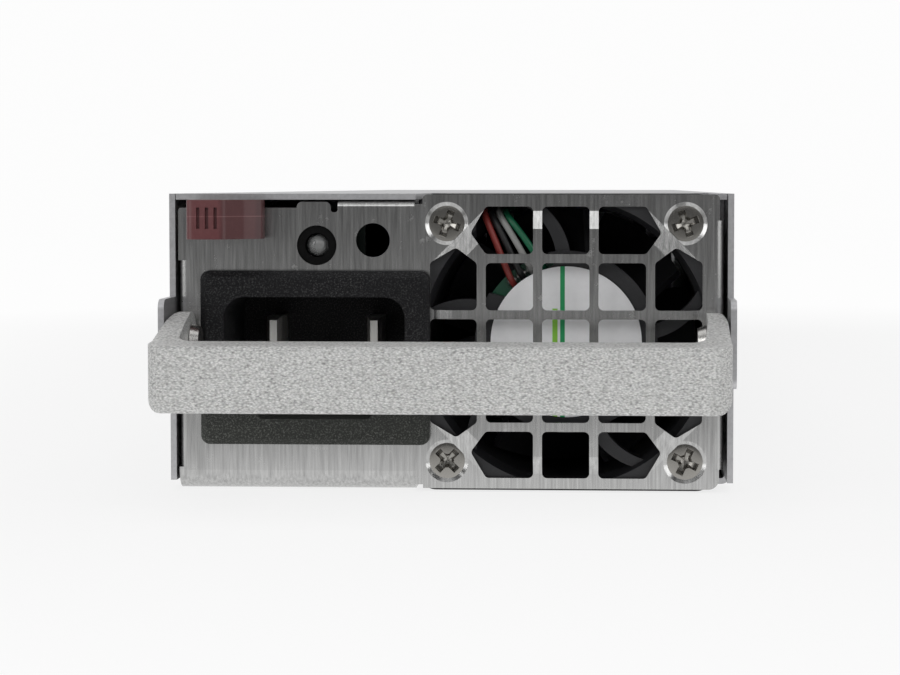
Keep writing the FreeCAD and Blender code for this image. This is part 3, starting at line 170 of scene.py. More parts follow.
def math_node(tree, operation, a, b=None, clamp=False):
    node = tree.nodes.new("ShaderNodeMath")
    node.operation = operation
    node.use_clamp = clamp
    for socket, value in ((node.inputs[0], a), (node.inputs[1], b)):
        if value is None:
            continue
        if isinstance(value, (int, float)):
            socket.default_value = value
        else:
            link(tree, value, socket)
    return node.outputs[0]


def noise(tree, vector, scale, detail=2.0, roughness=0.5):
    node = tree.nodes.new("ShaderNodeTexNoise")
    node.inputs["Scale"].default_value = scale
    node.inputs["Detail"].default_value = detail
    node.inputs["Roughness"].default_value = roughness
    link(tree, vector, node.inputs["Vector"])
    return node.outputs["Fac"]


def stretched(tree, scale):
    place = tree.nodes.new("ShaderNodeTexCoord")
    mapping = tree.nodes.new("ShaderNodeMapping")
    mapping.inputs["Scale"].default_value = scale
    link(tree, place.outputs["Object"], mapping.inputs["Vector"])
    return mapping.outputs["Vector"]


def axes(tree, place):
    split = tree.nodes.new("ShaderNodeSeparateXYZ")
    link(tree, place, split.inputs[0])
    return split.outputs


def blend_colour(tree, share, first, second):
    node = tree.nodes.new("ShaderNodeMix")
    node.data_type = "RGBA"
    link(tree, share, node.inputs["Factor"])
    for socket, value in ((node.inputs[6], first), (node.inputs[7], second)):
        if isinstance(value, tuple):
            socket.default_value = value
        else:
            link(tree, value, socket)
    return node.outputs[2]


def ramp(tree, value, low, high):
    node = tree.nodes.new("ShaderNodeMapRange")
    node.inputs["From Min"].default_value = low
    node.inputs["From Max"].default_value = high
    link(tree, value, node.inputs["Value"])
    return node.outputs["Result"]


def band(tree, value, low, high):
    above = math_node(tree, "GREATER_THAN", value, low)
    return math_node(tree, "MULTIPLY", above, math_node(tree, "LESS_THAN", value, high))


def scaled_colour(tree, colour, tone):
    node = tree.nodes.new("ShaderNodeVectorMath")
    node.operation = "SCALE"
    link(tree, colour, node.inputs[0])
    link(tree, tone, node.inputs["Scale"])
    return node.outputs[0]


def bump(tree, height, strength, distance):
    node = tree.nodes.new("ShaderNodeBump")
    node.inputs["Strength"].default_value = strength
    node.inputs["Distance"].default_value = distance
    link(tree, height, node.inputs["Height"])
    return node.outputs["Normal"]


COLOUR = "NodeSocketColor"
NUMBER = "NodeSocketFloat"
VECTOR = "NodeSocketVector"


def make_brushed():
    """Fine grain drawn along one direction, with cloudy tone and a few scuffs."""
    tree, given, result = group(
        "brushed grain",
        [("Vector", VECTOR, (0, 0, 0)), ("Place", VECTOR, (0, 0, 0)), ("Base", COLOUR, (0.5, 0.5, 0.5, 1)),
         ("Grain", NUMBER, 0.2), ("Cloud", NUMBER, 0.25), ("Wear", NUMBER, 0.3),
         ("Roughness", NUMBER, 0.35)],
        [("Color", COLOUR), ("Roughness", NUMBER), ("Height", NUMBER)])
    grain = noise(tree, given.outputs["Vector"], 1.0, 3.0, 0.6)
    cloud = noise(tree, given.outputs["Place"], 90.0, 3.0, 0.55)
    scuff = ramp(tree, noise(tree, given.outputs["Place"], 420.0, 5.0, 0.7), 0.62, 0.74)
    tone = math_node(tree, "MULTIPLY", math_node(tree, "SUBTRACT", grain, 0.5), given.outputs["Grain"])
    tone = math_node(tree, "ADD", tone, math_node(
        tree, "MULTIPLY", math_node(tree, "SUBTRACT", cloud, 0.5), given.outputs["Cloud"]))
    tone = math_node(tree, "ADD", tone, 1.0)
    worn = math_node(tree, "MULTIPLY", scuff, given.outputs["Wear"])
    tone = math_node(tree, "ADD", tone, math_node(tree, "MULTIPLY", worn, 0.35))
    link(tree, scaled_colour(tree, given.outputs["Base"], tone), result.inputs["Color"])
    rough = math_node(tree, "ADD", given.outputs["Roughness"],
                      math_node(tree, "MULTIPLY", math_node(tree, "SUBTRACT", grain, 0.5), 0.10))
    rough = math_node(tree, "ADD", rough, math_node(tree, "MULTIPLY", worn, 0.15), clamp=True)
    link(tree, rough, result.inputs["Roughness"])
    link(tree, grain, result.inputs["Height"])
    return tree


def make_speckle():
    """Moulded texture: fine grain, soft mottle and sparse light specks."""
    tree, given, result = group(
        "moulded speckle",
        [("Place", VECTOR, (0, 0, 0)), ("Base", COLOUR, (0.05, 0.05, 0.05, 1)),
         ("Speck", COLOUR, (0.3, 0.3, 0.3, 1)), ("Amount", NUMBER, 0.3), ("Scale", NUMBER, 3000.0),
         ("Roughness", NUMBER, 0.5)],
        [("Color", COLOUR), ("Roughness", NUMBER), ("Height", NUMBER)])
    fine = tree.nodes.new("ShaderNodeTexNoise")
    fine.inputs["Detail"].default_value = 3.0
    fine.inputs["Roughness"].default_value = 0.65
    link(tree, given.outputs["Place"], fine.inputs["Vector"])
    link(tree, given.outputs["Scale"], fine.inputs["Scale"])
    mottle = noise(tree, given.outputs["Place"], 160.0, 2.0)
    specks = ramp(tree, fine.outputs["Fac"], 0.5, 0.72)
    share = math_node(tree, "MULTIPLY", specks, given.outputs["Amount"])
    share = math_node(tree, "MULTIPLY", share, math_node(tree, "ADD", mottle, 0.5), clamp=True)
    colour = blend_colour(tree, share, given.outputs["Base"], given.outputs["Speck"])
    link(tree, colour, result.inputs["Color"])
    rough = math_node(tree, "ADD", given.outputs["Roughness"],
                      math_node(tree, "MULTIPLY", math_node(tree, "SUBTRACT", mottle, 0.5), 0.3), clamp=True)
    link(tree, rough, result.inputs["Roughness"])
    link(tree, fine.outputs["Fac"], result.inputs["Height"])
    return tree


def make_pebble():
    """Cast skin: soft pebbles broken up by finer grain."""
    tree, given, result = group(
        "cast pebbles",
        [("Place", VECTOR, (0, 0, 0)), ("Base", COLOUR, (0.5, 0.5, 0.5, 1)), ("Scale", NUMBER, 900.0),
         ("Depth", NUMBER, 0.3), ("Roughness", NUMBER, 0.4)],
        [("Color", COLOUR), ("Roughness", NUMBER), ("Height", NUMBER)])
    cells = tree.nodes.new("ShaderNodeTexVoronoi")
    cells.feature = "SMOOTH_F1"
    cells.inputs["Smoothness"].default_value = 0.6
    link(tree, given.outputs["Place"], cells.inputs["Vector"])
    link(tree, given.outputs["Scale"], cells.inputs["Scale"])
    waves = tree.nodes.new("ShaderNodeTexNoise")
    waves.inputs["Detail"].default_value = 4.0
    waves.inputs["Roughness"].default_value = 0.65
    link(tree, given.outputs["Place"], waves.inputs["Vector"])
    link(tree, given.outputs["Scale"], waves.inputs["Scale"])
    height = math_node(
        tree, "ADD", math_node(tree, "MULTIPLY", cells.outputs["Distance"], -0.6), waves.outputs["Fac"])
    tone = math_node(tree, "ADD", math_node(tree, "MULTIPLY", math_node(
        tree, "SUBTRACT", height, 0.25), given.outputs["Depth"]), 1.0)
    link(tree, scaled_colour(tree, given.outputs["Base"], tone), result.inputs["Color"])
    rough = math_node(tree, "SUBTRACT", given.outputs["Roughness"],
                      math_node(tree, "MULTIPLY", math_node(tree, "SUBTRACT", height, 0.3), 0.2), clamp=True)
    link(tree, rough, result.inputs["Roughness"])
    link(tree, height, result.inputs["Height"])
    return tree


brushed_group = make_brushed()
speckle_group = make_speckle()
pebble_group = make_pebble()


def new_material(name):
    material = bpy.data.materials.new(name)
    material.use_nodes = True
    tree = material.node_tree
    return material, tree, tree.nodes["Principled BSDF"]


def use_group(tree, shared, **values):
    node = tree.nodes.new("ShaderNodeGroup")
    node.node_tree = shared
    for label, value in values.items():
        node.inputs[label].default_value = value
    return node


def object_place(tree):
    return tree.nodes.new("ShaderNodeTexCoord").outputs["Object"]


def dress(tree, shader, node, strength, depth, colour=None):
    """Leads a group's colour, roughness and height to the shader, or another colour in place of its own."""
    link(tree, colour or node.outputs["Color"], shader.inputs["Base Color"])
    link(tree, node.outputs["Roughness"], shader.inputs["Roughness"])
    link(tree, bump(tree, node.outputs["Height"], strength, depth), shader.inputs["Normal"])


def brushed_metal(name, base, grain=0.2, wear=0.3, roughness=0.35, along="Z", bump_height=0.00001,
                  fine=7000.0, coarse=260.0, anisotropy=0.0, cloud=0.25):
    material, tree, shader = new_material(name)
    node = use_group(
        tree, brushed_group, Base=(*base, 1), Grain=grain, Cloud=cloud, Wear=wear, Roughness=roughness)
    scale = {"X": (coarse, fine, fine), "Y": (fine, coarse, fine), "Z": (fine, fine, coarse)}[along]
    link(tree, stretched(tree, scale), node.inputs["Vector"])
    link(tree, object_place(tree), node.inputs["Place"])
    dress(tree, shader, node, 0.4, bump_height)
    shader.inputs["Metallic"].default_value = 1.0
    if anisotropy:
        shader.inputs["Anisotropic"].default_value = anisotropy
        tangent = tree.nodes.new("ShaderNodeTangent")
        tangent.direction_type = "RADIAL"
        tangent.axis = "Z"
        link(tree, tangent.outputs[0], shader.inputs["Tangent"])
    return material


def moulded(name, base, speck=None, amount=0.3, scale=3000.0, roughness=0.5, depth=0.00003,
            strength=0.4, specular=0.5):
    material, tree, shader = new_material(name)
    speck = speck or tuple(min(1.0, c * 1.5 + 0.01) for c in base)
    node = use_group(
        tree, speckle_group, Base=(*base, 1), Speck=(*speck, 1), Amount=amount, Scale=scale,
        Roughness=roughness)
    link(tree, object_place(tree), node.inputs["Place"])
    dress(tree, shader, node, strength, depth)
    shader.inputs["Specular IOR Level"].default_value = specular
    return material


def cast_metal(name, base, roughness):
    material, tree, shader = new_material(name)
    node = use_group(tree, pebble_group, Base=(*base, 1), Scale=4500.0, Depth=1.35, Roughness=roughness)
    link(tree, stretched(tree, (0.6, 1.0, 1.15)), node.inputs["Place"])
    dress(tree, shader, node, 1.0, 0.00018)
    shader.inputs["Metallic"].default_value = 0.7
    return material


steel = brushed_metal(
    "zinc plated sheet", (0.50, 0.50, 0.51), grain=0.45, roughness=0.47, along="Y", fine=2400.0,
    coarse=30.0, cloud=0.08)
panel_steel = brushed_metal(
    "brushed panel steel", (0.44, 0.44, 0.435), grain=1.0, wear=1.0, roughness=0.25, bump_height=0.00002,
    fine=2600.0, coarse=120.0, anisotropy=0.7)
bright_steel = brushed_metal("bright screw steel", (0.60, 0.59, 0.57), grain=0.1, roughness=0.28)
plated = brushed_metal("plated lever steel", (0.55, 0.55, 0.54), grain=0.15, roughness=0.33, along="Y")
spring_steel = brushed_metal("tempered strip", (0.40, 0.40, 0.41), grain=0.15, roughness=0.3, along="Y")
casting = cast_metal("pebbled casting", (0.67, 0.67, 0.66), 0.5)
black_plastic = moulded("black fan plastic", (0.018, 0.018, 0.020), amount=0.25, roughness=0.42)
holder_plastic = moulded("matt holder plastic", (0.003, 0.003, 0.003), roughness=0.7, specular=0.1)
pin_metal = brushed_metal("nickel plated pin", (0.80, 0.79, 0.76), grain=0.08, roughness=0.45)
contact_metal = brushed_metal("plated contact", (0.80, 0.60, 0.28), grain=0.1, roughness=0.25)
connector_plastic = moulded("connector plastic", (0.03, 0.03, 0.03), roughness=0.5)
white_plastic = moulded("cream plastic", (0.72, 0.70, 0.62), amount=0.1, roughness=0.5)
# Painted shade: a darker copy of the green solder resist for the light board, standing in for the shade it
# lies in behind the front panel
shaded_board = moulded("shaded solder resist", (0.003, 0.016, 0.010), amount=0.2, roughness=0.5)
board_green = moulded("solder resist", (0.012, 0.085, 0.045), (0.02, 0.13, 0.07), 0.3, 900.0, 0.3, 0.00001)
film_amber = moulded("insulating sheet", (0.65, 0.50, 0.25), amount=0.1, roughness=0.3)
brass = brushed_metal("turned brass", (0.70, 0.52, 0.24), grain=0.15, roughness=0.3)
ferrite = moulded("fired ferrite", (0.05, 0.05, 0.055), amount=0.3, roughness=0.6)
core_steel = brushed_metal("core laminations", (0.35, 0.35, 0.36), grain=0.3, roughness=0.4, along="X")
copper = moulded("enamelled wire", (0.36, 0.12, 0.05), (0.5, 0.2, 0.08), 0.4, 700.0, 0.3)
sink_metal = brushed_metal("extruded aluminium", (0.70, 0.71, 0.72), grain=0.15, roughness=0.35, along="Y")
device = moulded("moulded package", (0.03, 0.03, 0.032), roughness=0.45)
film_box = moulded("cast capacitor box", (0.62, 0.46, 0.07), roughness=0.4)
sleeve = moulded("shrunk sleeve", (0.02, 0.035, 0.12), roughness=0.3)
lead_red = moulded("red lead", (0.26, 0.035, 0.03), amount=0.1, roughness=0.35)
lead_black = moulded("black lead", (0.012, 0.012, 0.013), amount=0.1, roughness=0.35)
lead_white = moulded("grey white lead", (0.32, 0.32, 0.31), amount=0.1, roughness=0.35)
lead_green = moulded("green lead", (0.008, 0.13, 0.06), amount=0.1, roughness=0.35)
lead_brown = moulded("brown lead", (0.11, 0.05, 0.025), amount=0.1, roughness=0.35)
lead_blue = moulded("blue lead", (0.03, 0.08, 0.35), amount=0.1, roughness=0.35)
lead_earth = moulded("green and yellow lead", (0.35, 0.42, 0.03), amount=0.1, roughness=0.35)
solder = brushed_metal("solder", (0.75, 0.75, 0.73), grain=0.1, roughness=0.3)


def make_inlet_plastic():
    """Speckled black plastic, lighter towards its lower edge, where a painted reflection of the pale floor
    lies.
    """
    material, tree, shader = new_material("speckled inlet plastic")
    place = object_place(tree)
    # Painted reflection: base and specks turn lighter and greyer towards the lower edge, standing in for the
    # floor seen in the plastic
    painted_floor_light = ramp(tree, axes(tree, place)["Z"], *inlet_painted_floor_light)
    node = use_group(tree, speckle_group, Amount=0.5, Scale=4600.0, Roughness=0.6)
    link(tree, place, node.inputs["Place"])
    base = blend_colour(tree, painted_floor_light, (0.005, 0.005, 0.006, 1), (0.040, 0.042, 0.038, 1))
    speck = blend_colour(tree, painted_floor_light, (0.11, 0.11, 0.11, 1), (0.34, 0.35, 0.32, 1))
    link(tree, base, node.inputs["Base"])
    link(tree, speck, node.inputs["Speck"])
    dress(tree, shader, node, 0.4, 0.00003)
    shader.inputs["Specular IOR Level"].default_value = 0.2
    return material


def make_lens():
    """Clear cast lens, faintly cloudy inside."""
    material, tree, shader = new_material("clear lens")
    cloud = noise(tree, object_place(tree), 700.0, 3.0)
    colour = blend_colour(tree, ramp(tree, cloud, 0.3, 0.7), (0.62, 0.63, 0.63, 1), (0.80, 0.81, 0.80, 1))
    link(tree, colour, shader.inputs["Base Color"])
    link(tree, math_node(tree, "MULTIPLY", cloud, 0.2), shader.inputs["Roughness"])
    shader.inputs["Transmission Weight"].default_value = 0.7
    shader.inputs["IOR"].default_value = 1.5
    return material


def make_fuse_glass():
    """Fuse glass, faintly cloudy; the same finish covers the fuse's ends."""
    material, tree, shader = new_material("fuse glass")
    cloud = noise(tree, object_place(tree), 500.0, 2.0)
    colour = blend_colour(tree, ramp(tree, cloud, 0.3, 0.7), (0.66, 0.68, 0.66, 1), (0.80, 0.82, 0.80, 1))
    link(tree, colour, shader.inputs["Base Color"])
    link(tree, math_node(tree, "MULTIPLY", cloud, 0.3), shader.inputs["Roughness"])
    return material


def make_label():
    """Pale coated stock with one long dark green stripe and one short light green stripe."""
    material, tree, shader = new_material("fan label stock")
    place = object_place(tree)
    split = axes(tree, place)
    fibre = noise(tree, place, 1500.0, 3.0)
    stock = blend_colour(tree, fibre, (0.80, 0.80, 0.81, 1), (0.87, 0.87, 0.88, 1))
    long_stripe = band(tree, split["X"], *label_long_stripe)
    below = math_node(tree, "LESS_THAN", split["Z"], label_short_stripe_top)
    short_stripe = math_node(tree, "MULTIPLY", band(tree, split["X"], *label_short_stripe), below)
    colour = blend_colour(tree, long_stripe, stock, (0.012, 0.30, 0.10, 1))
    colour = blend_colour(tree, short_stripe, colour, (0.26, 0.60, 0.06, 1))
    link(tree, colour, shader.inputs["Base Color"])
    rough = math_node(tree, "ADD", math_node(tree, "MULTIPLY", fibre, 0.1), 0.35)
    link(tree, rough, shader.inputs["Roughness"])
    return material


def make_burgundy():
    """Burgundy moulding with a pale parting line along it, and painted shade on the slope beside the grip
    slots, where the facet turns away from the light.
    """
    material, tree, shader = new_material("burgundy plastic")
    place = object_place(tree)
    node = use_group(
        tree, speckle_group, Base=(0.125, 0.038, 0.040, 1), Speck=(0.20, 0.08, 0.08, 1), Amount=0.2,
        Scale=1500.0, Roughness=0.4)
    link(tree, place, node.inputs["Place"])
    split = axes(tree, place)
    line = band(tree, split["Z"], *tab_parting_line)
    # Painted shade: the slope beside the grip slots is blended towards a dark colour, deeper to the right
    right = ramp(tree, split["X"], *tab_shade_start)
    depth = math_node(tree, "ADD", math_node(
        tree, "MULTIPLY", ramp(tree, split["X"], *tab_shade_deepens), 0.25), 0.35)
    shaded = math_node(tree, "MULTIPLY", right, depth)
    colour = blend_colour(tree, shaded, node.outputs["Color"], (0.030, 0.011, 0.012, 1))
    colour = blend_colour(tree, math_node(tree, "MULTIPLY", line, 0.5), colour, (0.28, 0.13, 0.13, 1))
    dress(tree, shader, node, 0.4, 0.00001, colour)
    return material


inlet_plastic = make_inlet_plastic()
burgundy = make_burgundy()
lens = make_lens()
fuse_glass = make_fuse_glass()
label_stock = make_label()

finishes = {
    "base_tray": steel, "top_cover": steel, "rear_panel": steel, "latch_bracket": steel,
    "front_panel": panel_steel, "lid_screws": bright_steel, "board_screws": bright_steel,
    "latch_pin": bright_steel, "fan_shaft": bright_steel, "fan_bearings": bright_steel,
    "fan_screws": bright_steel, "latch_lever": plated, "handle_rivets": bright_steel,
    "latch_spring": spring_steel, "handle": casting, "fan_frame": black_plastic, "fan_rotor": black_plastic,
    "light_holder": holder_plastic, "inlet_housing": inlet_plastic, "thumb_tab": burgundy,
    "inlet_pin_line": pin_metal, "inlet_pin_neutral": pin_metal, "inlet_pin_earth": pin_metal,
    "power_blades": contact_metal, "signal_pins": contact_metal, "connector_housing": connector_plastic,
    "fan_header": white_plastic, "fan_plug": white_plastic, "fan_label": label_stock,
    "main_board": board_green, "light_board": shaded_board, "fan_board": board_green,
    "control_card": board_green, "insulating_film": film_amber, "standoffs": brass,
    "fan_magnet": ferrite, "main_transformer": ferrite, "standby_transformer": ferrite,
    "fan_stator": core_steel, "fan_windings": copper, "filter_chokes": copper,
    "boost_choke": copper, "output_choke": copper, "primary_heat_sink": sink_metal,
    "secondary_heat_sink": sink_metal, "power_transistors": device, "bridge_rectifier": device,
    "inrush_relay": device, "filter_capacitors": film_box, "storage_capacitors": sleeve,
    "output_capacitors": sleeve, "fuse_link": fuse_glass, "status_light": lens,
    "fan_lead_red": lead_red, "fan_lead_black": lead_black, "fan_lead_white": lead_white,
    "fan_lead_green": lead_green, "inlet_lead_line": lead_brown, "inlet_lead_neutral": lead_blue,
    "inlet_lead_earth": lead_earth,
}
for name, material in finishes.items():
    slots = nodes[name].material_slots
    if slots:
        for slot in slots:
            slot.material = material
    else:
        nodes[name].data.materials.append(material)


# Pieces that carry more detail than the solids

def mesh_object(name, shape, material, smooth_angle):
    mesh = bpy.data.meshes.new(name)
    shape.to_mesh(mesh)
    shape.free()
    thing = bpy.data.objects.new(name, mesh)
    bpy.context.scene.collection.objects.link(thing)
    mesh.materials.append(material)
    for face in mesh.polygons:
        face.use_smooth = True
    mesh.set_sharp_from_angle(angle=math.radians(smooth_angle))
    return thing


def ring_of(shape, radius, depth, count):
    made = []
    for number in range(count):
        turn = 2 * math.pi * number / count
        made.append(shape.verts.new((radius * math.cos(turn), depth, radius * math.sin(turn))))
    return made


def bridge(shape, first, second):
    count = len(first)
    for number in range(count):
        after = (number + 1) % count
        shape.faces.new((first[number], first[after], second[after], second[number]))


def cross_outline(arm, half_width, inner, count):
    """Points of a cross with flared arms, evenly numbered to meet a circle."""
    points = []
    for number in range(count):
        turn = 2 * math.pi * number / count
        local = (turn + math.pi / 4) % (math.pi / 2) - math.pi / 4
        spread = abs(math.sin(local))
        if spread * arm < half_width:
            radius = min(arm / math.cos(local), arm * cross_bulge)
        else:
            radius = max(half_width / spread, inner)
        points.append((radius * math.cos(turn), radius * math.sin(turn)))
    return points


def screw_head(name, place, turn, head_radius, facing=0.0):
    """Flat countersunk head with a cross recess and a rounded rim."""
    shape = bmesh.new()
    rings = [ring_of(shape, head_radius * share, depth, screw_sides) for share, depth in screw_rim]
    for first, second in zip(rings, rings[1:]):
        bridge(shape, first, second)
    last = rings[-1]
    for share, depth in cross_levels:
        points = cross_outline(
            head_radius * cross_reach * share, head_radius * cross_half_width * share,
            head_radius * cross_inner * share, screw_sides)
        level = [shape.verts.new((u, depth, v)) for u, v in points]
        bridge(shape, last, level)
        last = level
    bottom = shape.verts.new((0, cross_bottom, 0))
    for number in range(screw_sides):
        shape.faces.new((last[number], last[(number + 1) % screw_sides], bottom))
    bmesh.ops.recalc_face_normals(shape, faces=shape.faces)
    turned = Matrix.Rotation(math.radians(facing), 4, "Z") @ Matrix.Rotation(math.radians(turn), 4, "Y")
    shape.transform(Matrix.Translation(Vector(place)) @ turned)
    head = mesh_object(name, shape, screw_finish, 35)
    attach(head, "chassis")
    return head


screw_finish = brushed_metal("nickel screw head", (0.30, 0.29, 0.27), grain=0.12, wear=0.4, roughness=0.24)

screw_low, screw_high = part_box("fan_screws")
screw_inset = (screw_high.x - screw_low.x) / 2 - fan_screw_solid_radius
screw_x = (screw_low.x + screw_high.x) / 2
screw_z = (screw_low.z + screw_high.z) / 2
for side, level, turn in ((-1, 1, 20), (1, 1, -20), (-1, -1, 45), (1, -1, 25)):
    screw_head(
        "fan_screw_head_" + ("left" if side < 0 else "right") + ("_top" if level > 0 else "_bottom"),
        (screw_x + side * screw_inset, screw_low.y, screw_z + level * screw_inset), turn,
        fan_screw_head_radius)
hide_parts("fan_screws")

lid_low, lid_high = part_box("lid_screws")
for side, facing in ((-1, -90.0), (1, 90.0)):
    for row, y in enumerate((lid_low.y + lid_screw_solid_radius, lid_high.y - lid_screw_solid_radius)):
        screw_head(
            "lid_screw_head_" + ("left" if side < 0 else "right") + ("_front" if row == 0 else "_rear"),
            (lid_low.x if side < 0 else lid_high.x, y, (lid_low.z + lid_high.z) / 2),
            30.0 + 25.0 * row + 10.0 * side, lid_screw_head_radius, facing)
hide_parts("lid_screws")


def vent_lips():
    """Small lips bent inward from the top of each rear vent, which turn the air down past the connector."""
    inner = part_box("rear_panel")[1].y - lip_inset
    section = [(inner - reach, lip_top + rise) for reach, rise in lip_profile]
    shape = bmesh.new()
    for number in range(vent_count):
        x = (number - (vent_count - 1) / 2) * vent_pitch
        ends = [
            [shape.verts.new((x + side * lip_half_width, y, z)) for y, z in section] for side in (-1, 1)]
        bridge(shape, ends[0], ends[1])
        for end in ends:
            shape.faces.new(end)
    bmesh.ops.recalc_face_normals(shape, faces=shape.faces)
    lips = mesh_object("rear_vent_lips", shape, steel, 30)
    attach(lips, "chassis")
    return lips


vent_lips()


def leaf_spring():
    """Thin strip from the bracket to the lever, drawn in one fixed shape with a rounded bend; the real strip
    bends as the thumb tab is pressed.
    """
    low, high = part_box("latch_spring")
    start = Vector((high.x - spring_thickness / 2, high.y))
    corner = Vector((start.x, high.y - spring_held_length))
    tip = Vector((low.x + spring_thickness / 2, low.y))
    entry = corner + Vector((0, spring_bend))
    leaving = corner + (tip - corner).normalized() * spring_bend
    line = [start, (start + entry) / 2]
    for number in range(bend_steps + 1):
        share = number / bend_steps
        line.append(entry.lerp(corner, share).lerp(corner.lerp(leaving, share), share))
    for number in range(1, leaf_steps + 1):
        line.append(leaving.lerp(tip, number / leaf_steps))
    shape = bmesh.new()
    last = None
    for number, place in enumerate(line):
        before = line[max(number - 1, 0)]
        after = line[min(number + 1, len(line) - 1)]
        along = (after - before).normalized()
        side = Vector((-along.y, along.x)) * spring_thickness / 2
        level = [
            shape.verts.new((place.x + way * side.x, place.y + way * side.y, z))
            for way, z in ((1, low.z), (-1, low.z), (-1, high.z), (1, high.z))]
        if last:
            bridge(shape, last, level)
        else:
            shape.faces.new(level)
        last = level
    shape.faces.new(last)
    bmesh.ops.recalc_face_normals(shape, faces=shape.faces)
    strip = mesh_object("leaf_spring_strip", shape, spring_steel, 40)
    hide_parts("latch_spring")
    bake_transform(strip)
    return strip


leaf_spring()


def lead(name, node, points, material):
    """Round lead on a smooth line from its solder pad to the frame's channel and back to the plug."""
    curve = bpy.data.curves.new(name, "CURVE")
    curve.dimensions = "3D"
    curve.bevel_depth = lead_radius
    curve.bevel_resolution = 4
    curve.resolution_u = 10
    curve.use_fill_caps = True
    line = curve.splines.new("NURBS")
    line.points.add(len(points) - 1)
    for spot, place in zip(line.points, points):
        spot.co = (*place, 1)
    line.order_u = 3
    line.use_endpoint_u = True
    thing = bpy.data.objects.new(name, curve)
    bpy.context.scene.collection.objects.link(thing)
    curve.materials.append(material)
    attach(thing, "chassis")
    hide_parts(node)
    return thing


def solder_mound(name, place):
    """Small bright mound of solder where a lead meets its pad."""
    shape = bmesh.new()
    last = None
    for share, rise in solder_profile:
        level = ring_of(
            shape, solder_radius * share, -solder_radius * solder_height * rise, solder_sides)
        if last:
            bridge(shape, last, level)
        last = level
    shape.faces.new(last)
    bmesh.ops.recalc_face_normals(shape, faces=shape.faces)
    shape.transform(Matrix.Translation(place))
    mound = mesh_object(name, shape, solder, 50)
    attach(mound, "chassis")
    return mound


lead_finishes = (
    ("red", lead_red, "red_lead"), ("black", lead_black, "black_lead"),
    ("white", lead_white, "white_lead"), ("green", lead_green, "green_lead"))
for number, (colour, material, slot_name) in enumerate(lead_finishes):
    low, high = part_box("fan_lead_" + colour)
    turn = math.radians(first_pad_angle - pad_angle_step * number)
    pad = Vector((
        fan_centre.x + pad_circle * math.cos(turn), low.y + 0.0005,
        fan_centre.z + pad_circle * math.sin(turn)))
    x = fan_centre.x - first_lead_offset + lead_pitch * number
    top = high.z - lead_radius
    back = high.y - lead_radius
    points = [
        pad + Vector((0.0005, 0.0010, -0.0008)),
        pad,
        Vector((pad.x * 0.55 + x * 0.45 - 0.0002, low.y + 0.0002, pad.z * 0.5 + top * 0.5)),
        Vector((x, low.y + 0.0008, top - 0.0006)),
        Vector((x, low.y + 0.0050, top)),
        Vector((x, back - 0.0040, top)),
        Vector((x, back, top - 0.0010)),
        Vector((x, back, top - 0.0060)),
        Vector((x, back, low.z + 0.0004)),
    ]
    lead("fan_lead_round_" + colour, "fan_lead_" + colour, points, material)
    solder_mound("solder_mound_" + colour, pad + Vector((0.0002, 0.0010, -0.0003)))


# Stage, light and camera

def stage_material(name, colour):
    """Pale paper, nearly white to the camera and a little darker round the object, where its shadow lies.
    Polished metal sees a pool of light on it that fades to the front."""
    material, tree, shader = new_material(name)
    place = object_place(tree)
    grain = noise(tree, place, 6.0, 2.0)
    shade = blend_colour(tree, grain, (*colour, 1), tuple(c * 0.985 for c in colour) + (1,))
    link(tree, shade, shader.inputs["Base Color"])
    shader.inputs["Roughness"].default_value = 0.9
    path = tree.nodes.new("ShaderNodeLightPath")
    split = axes(tree, place)
    beside = math_node(tree, "SUBTRACT", math_node(tree, "ABSOLUTE", split["X"]), object_half_width)
    beyond = math_node(tree, "SUBTRACT", math_node(tree, "ABSOLUTE", split["Y"]), object_half_length)
    reach = tree.nodes.new("ShaderNodeCombineXYZ")
    link(tree, math_node(tree, "MAXIMUM", beside, 0.0), reach.inputs["X"])
    link(tree, math_node(tree, "MAXIMUM", beyond, 0.0), reach.inputs["Y"])
    distance = tree.nodes.new("ShaderNodeVectorMath")
    distance.operation = "LENGTH"
    link(tree, reach.outputs[0], distance.inputs[0])
    far = ramp(tree, distance.outputs["Value"], 0.0, shade_reach)
    white = math_node(tree, "ADD", math_node(tree, "MULTIPLY", far, white_gain), white_near, clamp=True)
    seen = math_node(tree, "MAXIMUM", path.outputs["Is Camera Ray"], path.outputs["Is Transmission Ray"])
    near_pool = math_node(tree, "MULTIPLY", ramp(tree, split["Y"], *near_pool_edge), near_pool_light)
    far_pool = math_node(tree, "MULTIPLY", math_node(
        tree, "POWER", ramp(tree, split["Y"], *far_pool_edge), far_pool_fade), far_pool_light)
    pool = math_node(tree, "ADD", math_node(tree, "ADD", near_pool, far_pool), faintest_light)
    lit = math_node(
        tree, "MAXIMUM", ramp(tree, split["Y"], *lit_in_front), ramp(tree, split["Y"], *lit_behind))
    glossy = path.outputs["Is Glossy Ray"]
    strength = math_node(tree, "ADD", math_node(tree, "MULTIPLY", glossy, pool), seen, clamp=True)
    share = math_node(tree, "ADD", math_node(tree, "MULTIPLY", glossy, lit), math_node(
        tree, "MULTIPLY", seen, white), clamp=True)

    glow = tree.nodes.new("ShaderNodeEmission")
    link(tree, strength, glow.inputs["Strength"])
    blend = tree.nodes.new("ShaderNodeMixShader")
    link(tree, share, blend.inputs[0])
    link(tree, shader.outputs[0], blend.inputs[1])
    link(tree, glow.outputs[0], blend.inputs[2])
    link(tree, blend.outputs[0], tree.nodes["Material Output"].inputs["Surface"])
    return material


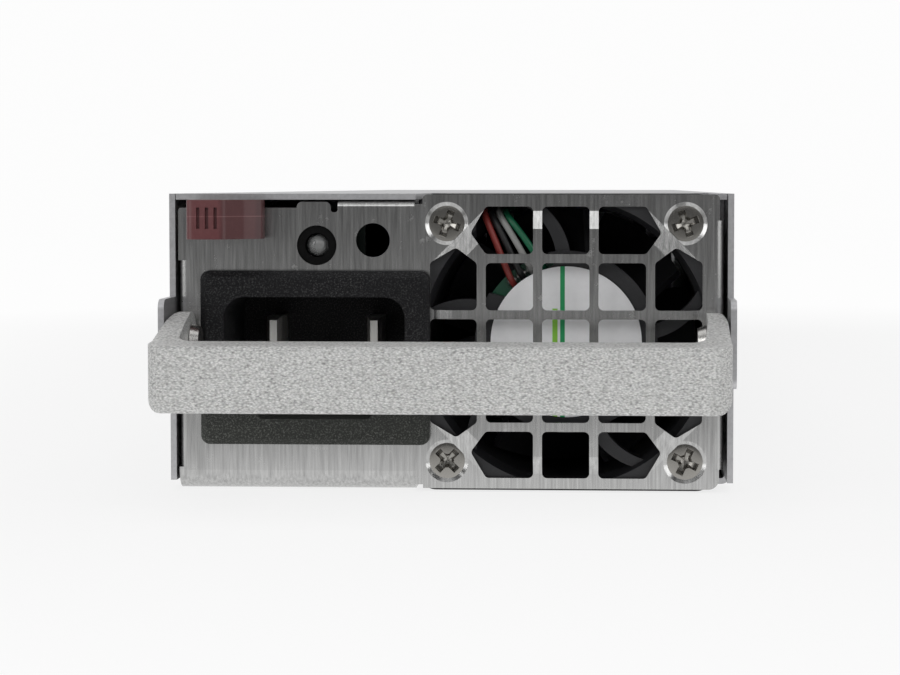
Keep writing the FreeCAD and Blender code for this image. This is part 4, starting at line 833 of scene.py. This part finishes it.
def floor_and_backdrop():
    shape = bmesh.new()
    profile = [(paper_front, 0.0)]
    for number in range(paper_bend_steps + 1):
        turn = math.radians(90 * number / paper_bend_steps)
        profile.append((
            paper_back + paper_bend * math.sin(turn), paper_bend - paper_bend * math.cos(turn)))
    profile.append((paper_back + paper_bend, paper_top))
    last = None
    for y, z in profile:
        pair = [shape.verts.new((x, y, z - paper_gap)) for x in (-paper_half_width, paper_half_width)]
        if last:
            shape.faces.new((last[0], last[1], pair[1], pair[0]))
        last = pair
    material = stage_material("pale studio paper", (0.90, 0.90, 0.90))
    sweep = mesh_object("studio_sweep", shape, material, 60)
    return sweep


floor_and_backdrop()


def softbox(name, place, aim, width, height, power):
    lamp = bpy.data.lights.new(name, "AREA")
    lamp.shape = "RECTANGLE"
    lamp.size = width
    lamp.size_y = height
    lamp.energy = power
    thing = bpy.data.objects.new(name, lamp)
    bpy.context.scene.collection.objects.link(thing)
    thing.location = place
    thing.rotation_mode = "QUATERNION"
    thing.rotation_quaternion = (Vector(aim) - Vector(place)).to_track_quat("-Z", "Y")
    return thing


softbox("overhead_softbox", (0.0, -0.1, 1.3), (0, 0, 0), width=1.6, height=1.6, power=7.0)
softbox("front_softbox", (0.0, -1.25, 0.72), (0, -0.15, 0), width=1.0, height=0.6, power=2.8)
softbox("left_softbox", (-1.2, -1.0, 0.45), (0, -0.1, 0), width=0.9, height=0.9, power=7.0)
softbox("right_softbox", (1.25, -0.95, 0.45), (0, -0.1, 0), width=0.9, height=0.9, power=6.0)

world = bpy.data.worlds.new("studio")
bpy.context.scene.world = world
world.use_nodes = True
wall = world.node_tree.nodes["Background"]
wall.inputs["Color"].default_value = (0.50, 0.50, 0.51, 1)
wall.inputs["Strength"].default_value = 0.24

bpy.context.scene.view_settings.view_transform = "Standard"

camera_data = bpy.data.cameras.new("camera")
camera_data.sensor_width = 36.0
camera_data.lens = 89.6
camera_data.clip_start = 0.01
camera_data.clip_end = 20.0
camera = bpy.data.objects.new("camera", camera_data)
bpy.context.scene.collection.objects.link(camera)
camera.location = (0.0218, -0.450, 0.0410)
camera_data.shift_x = -0.06
camera_data.shift_y = -0.056
view_line = Vector((-0.0485, 1.0, -0.0451))
camera.rotation_mode = "QUATERNION"
camera.rotation_quaternion = view_line.to_track_quat("-Z", "Y")
bpy.context.scene.camera = camera
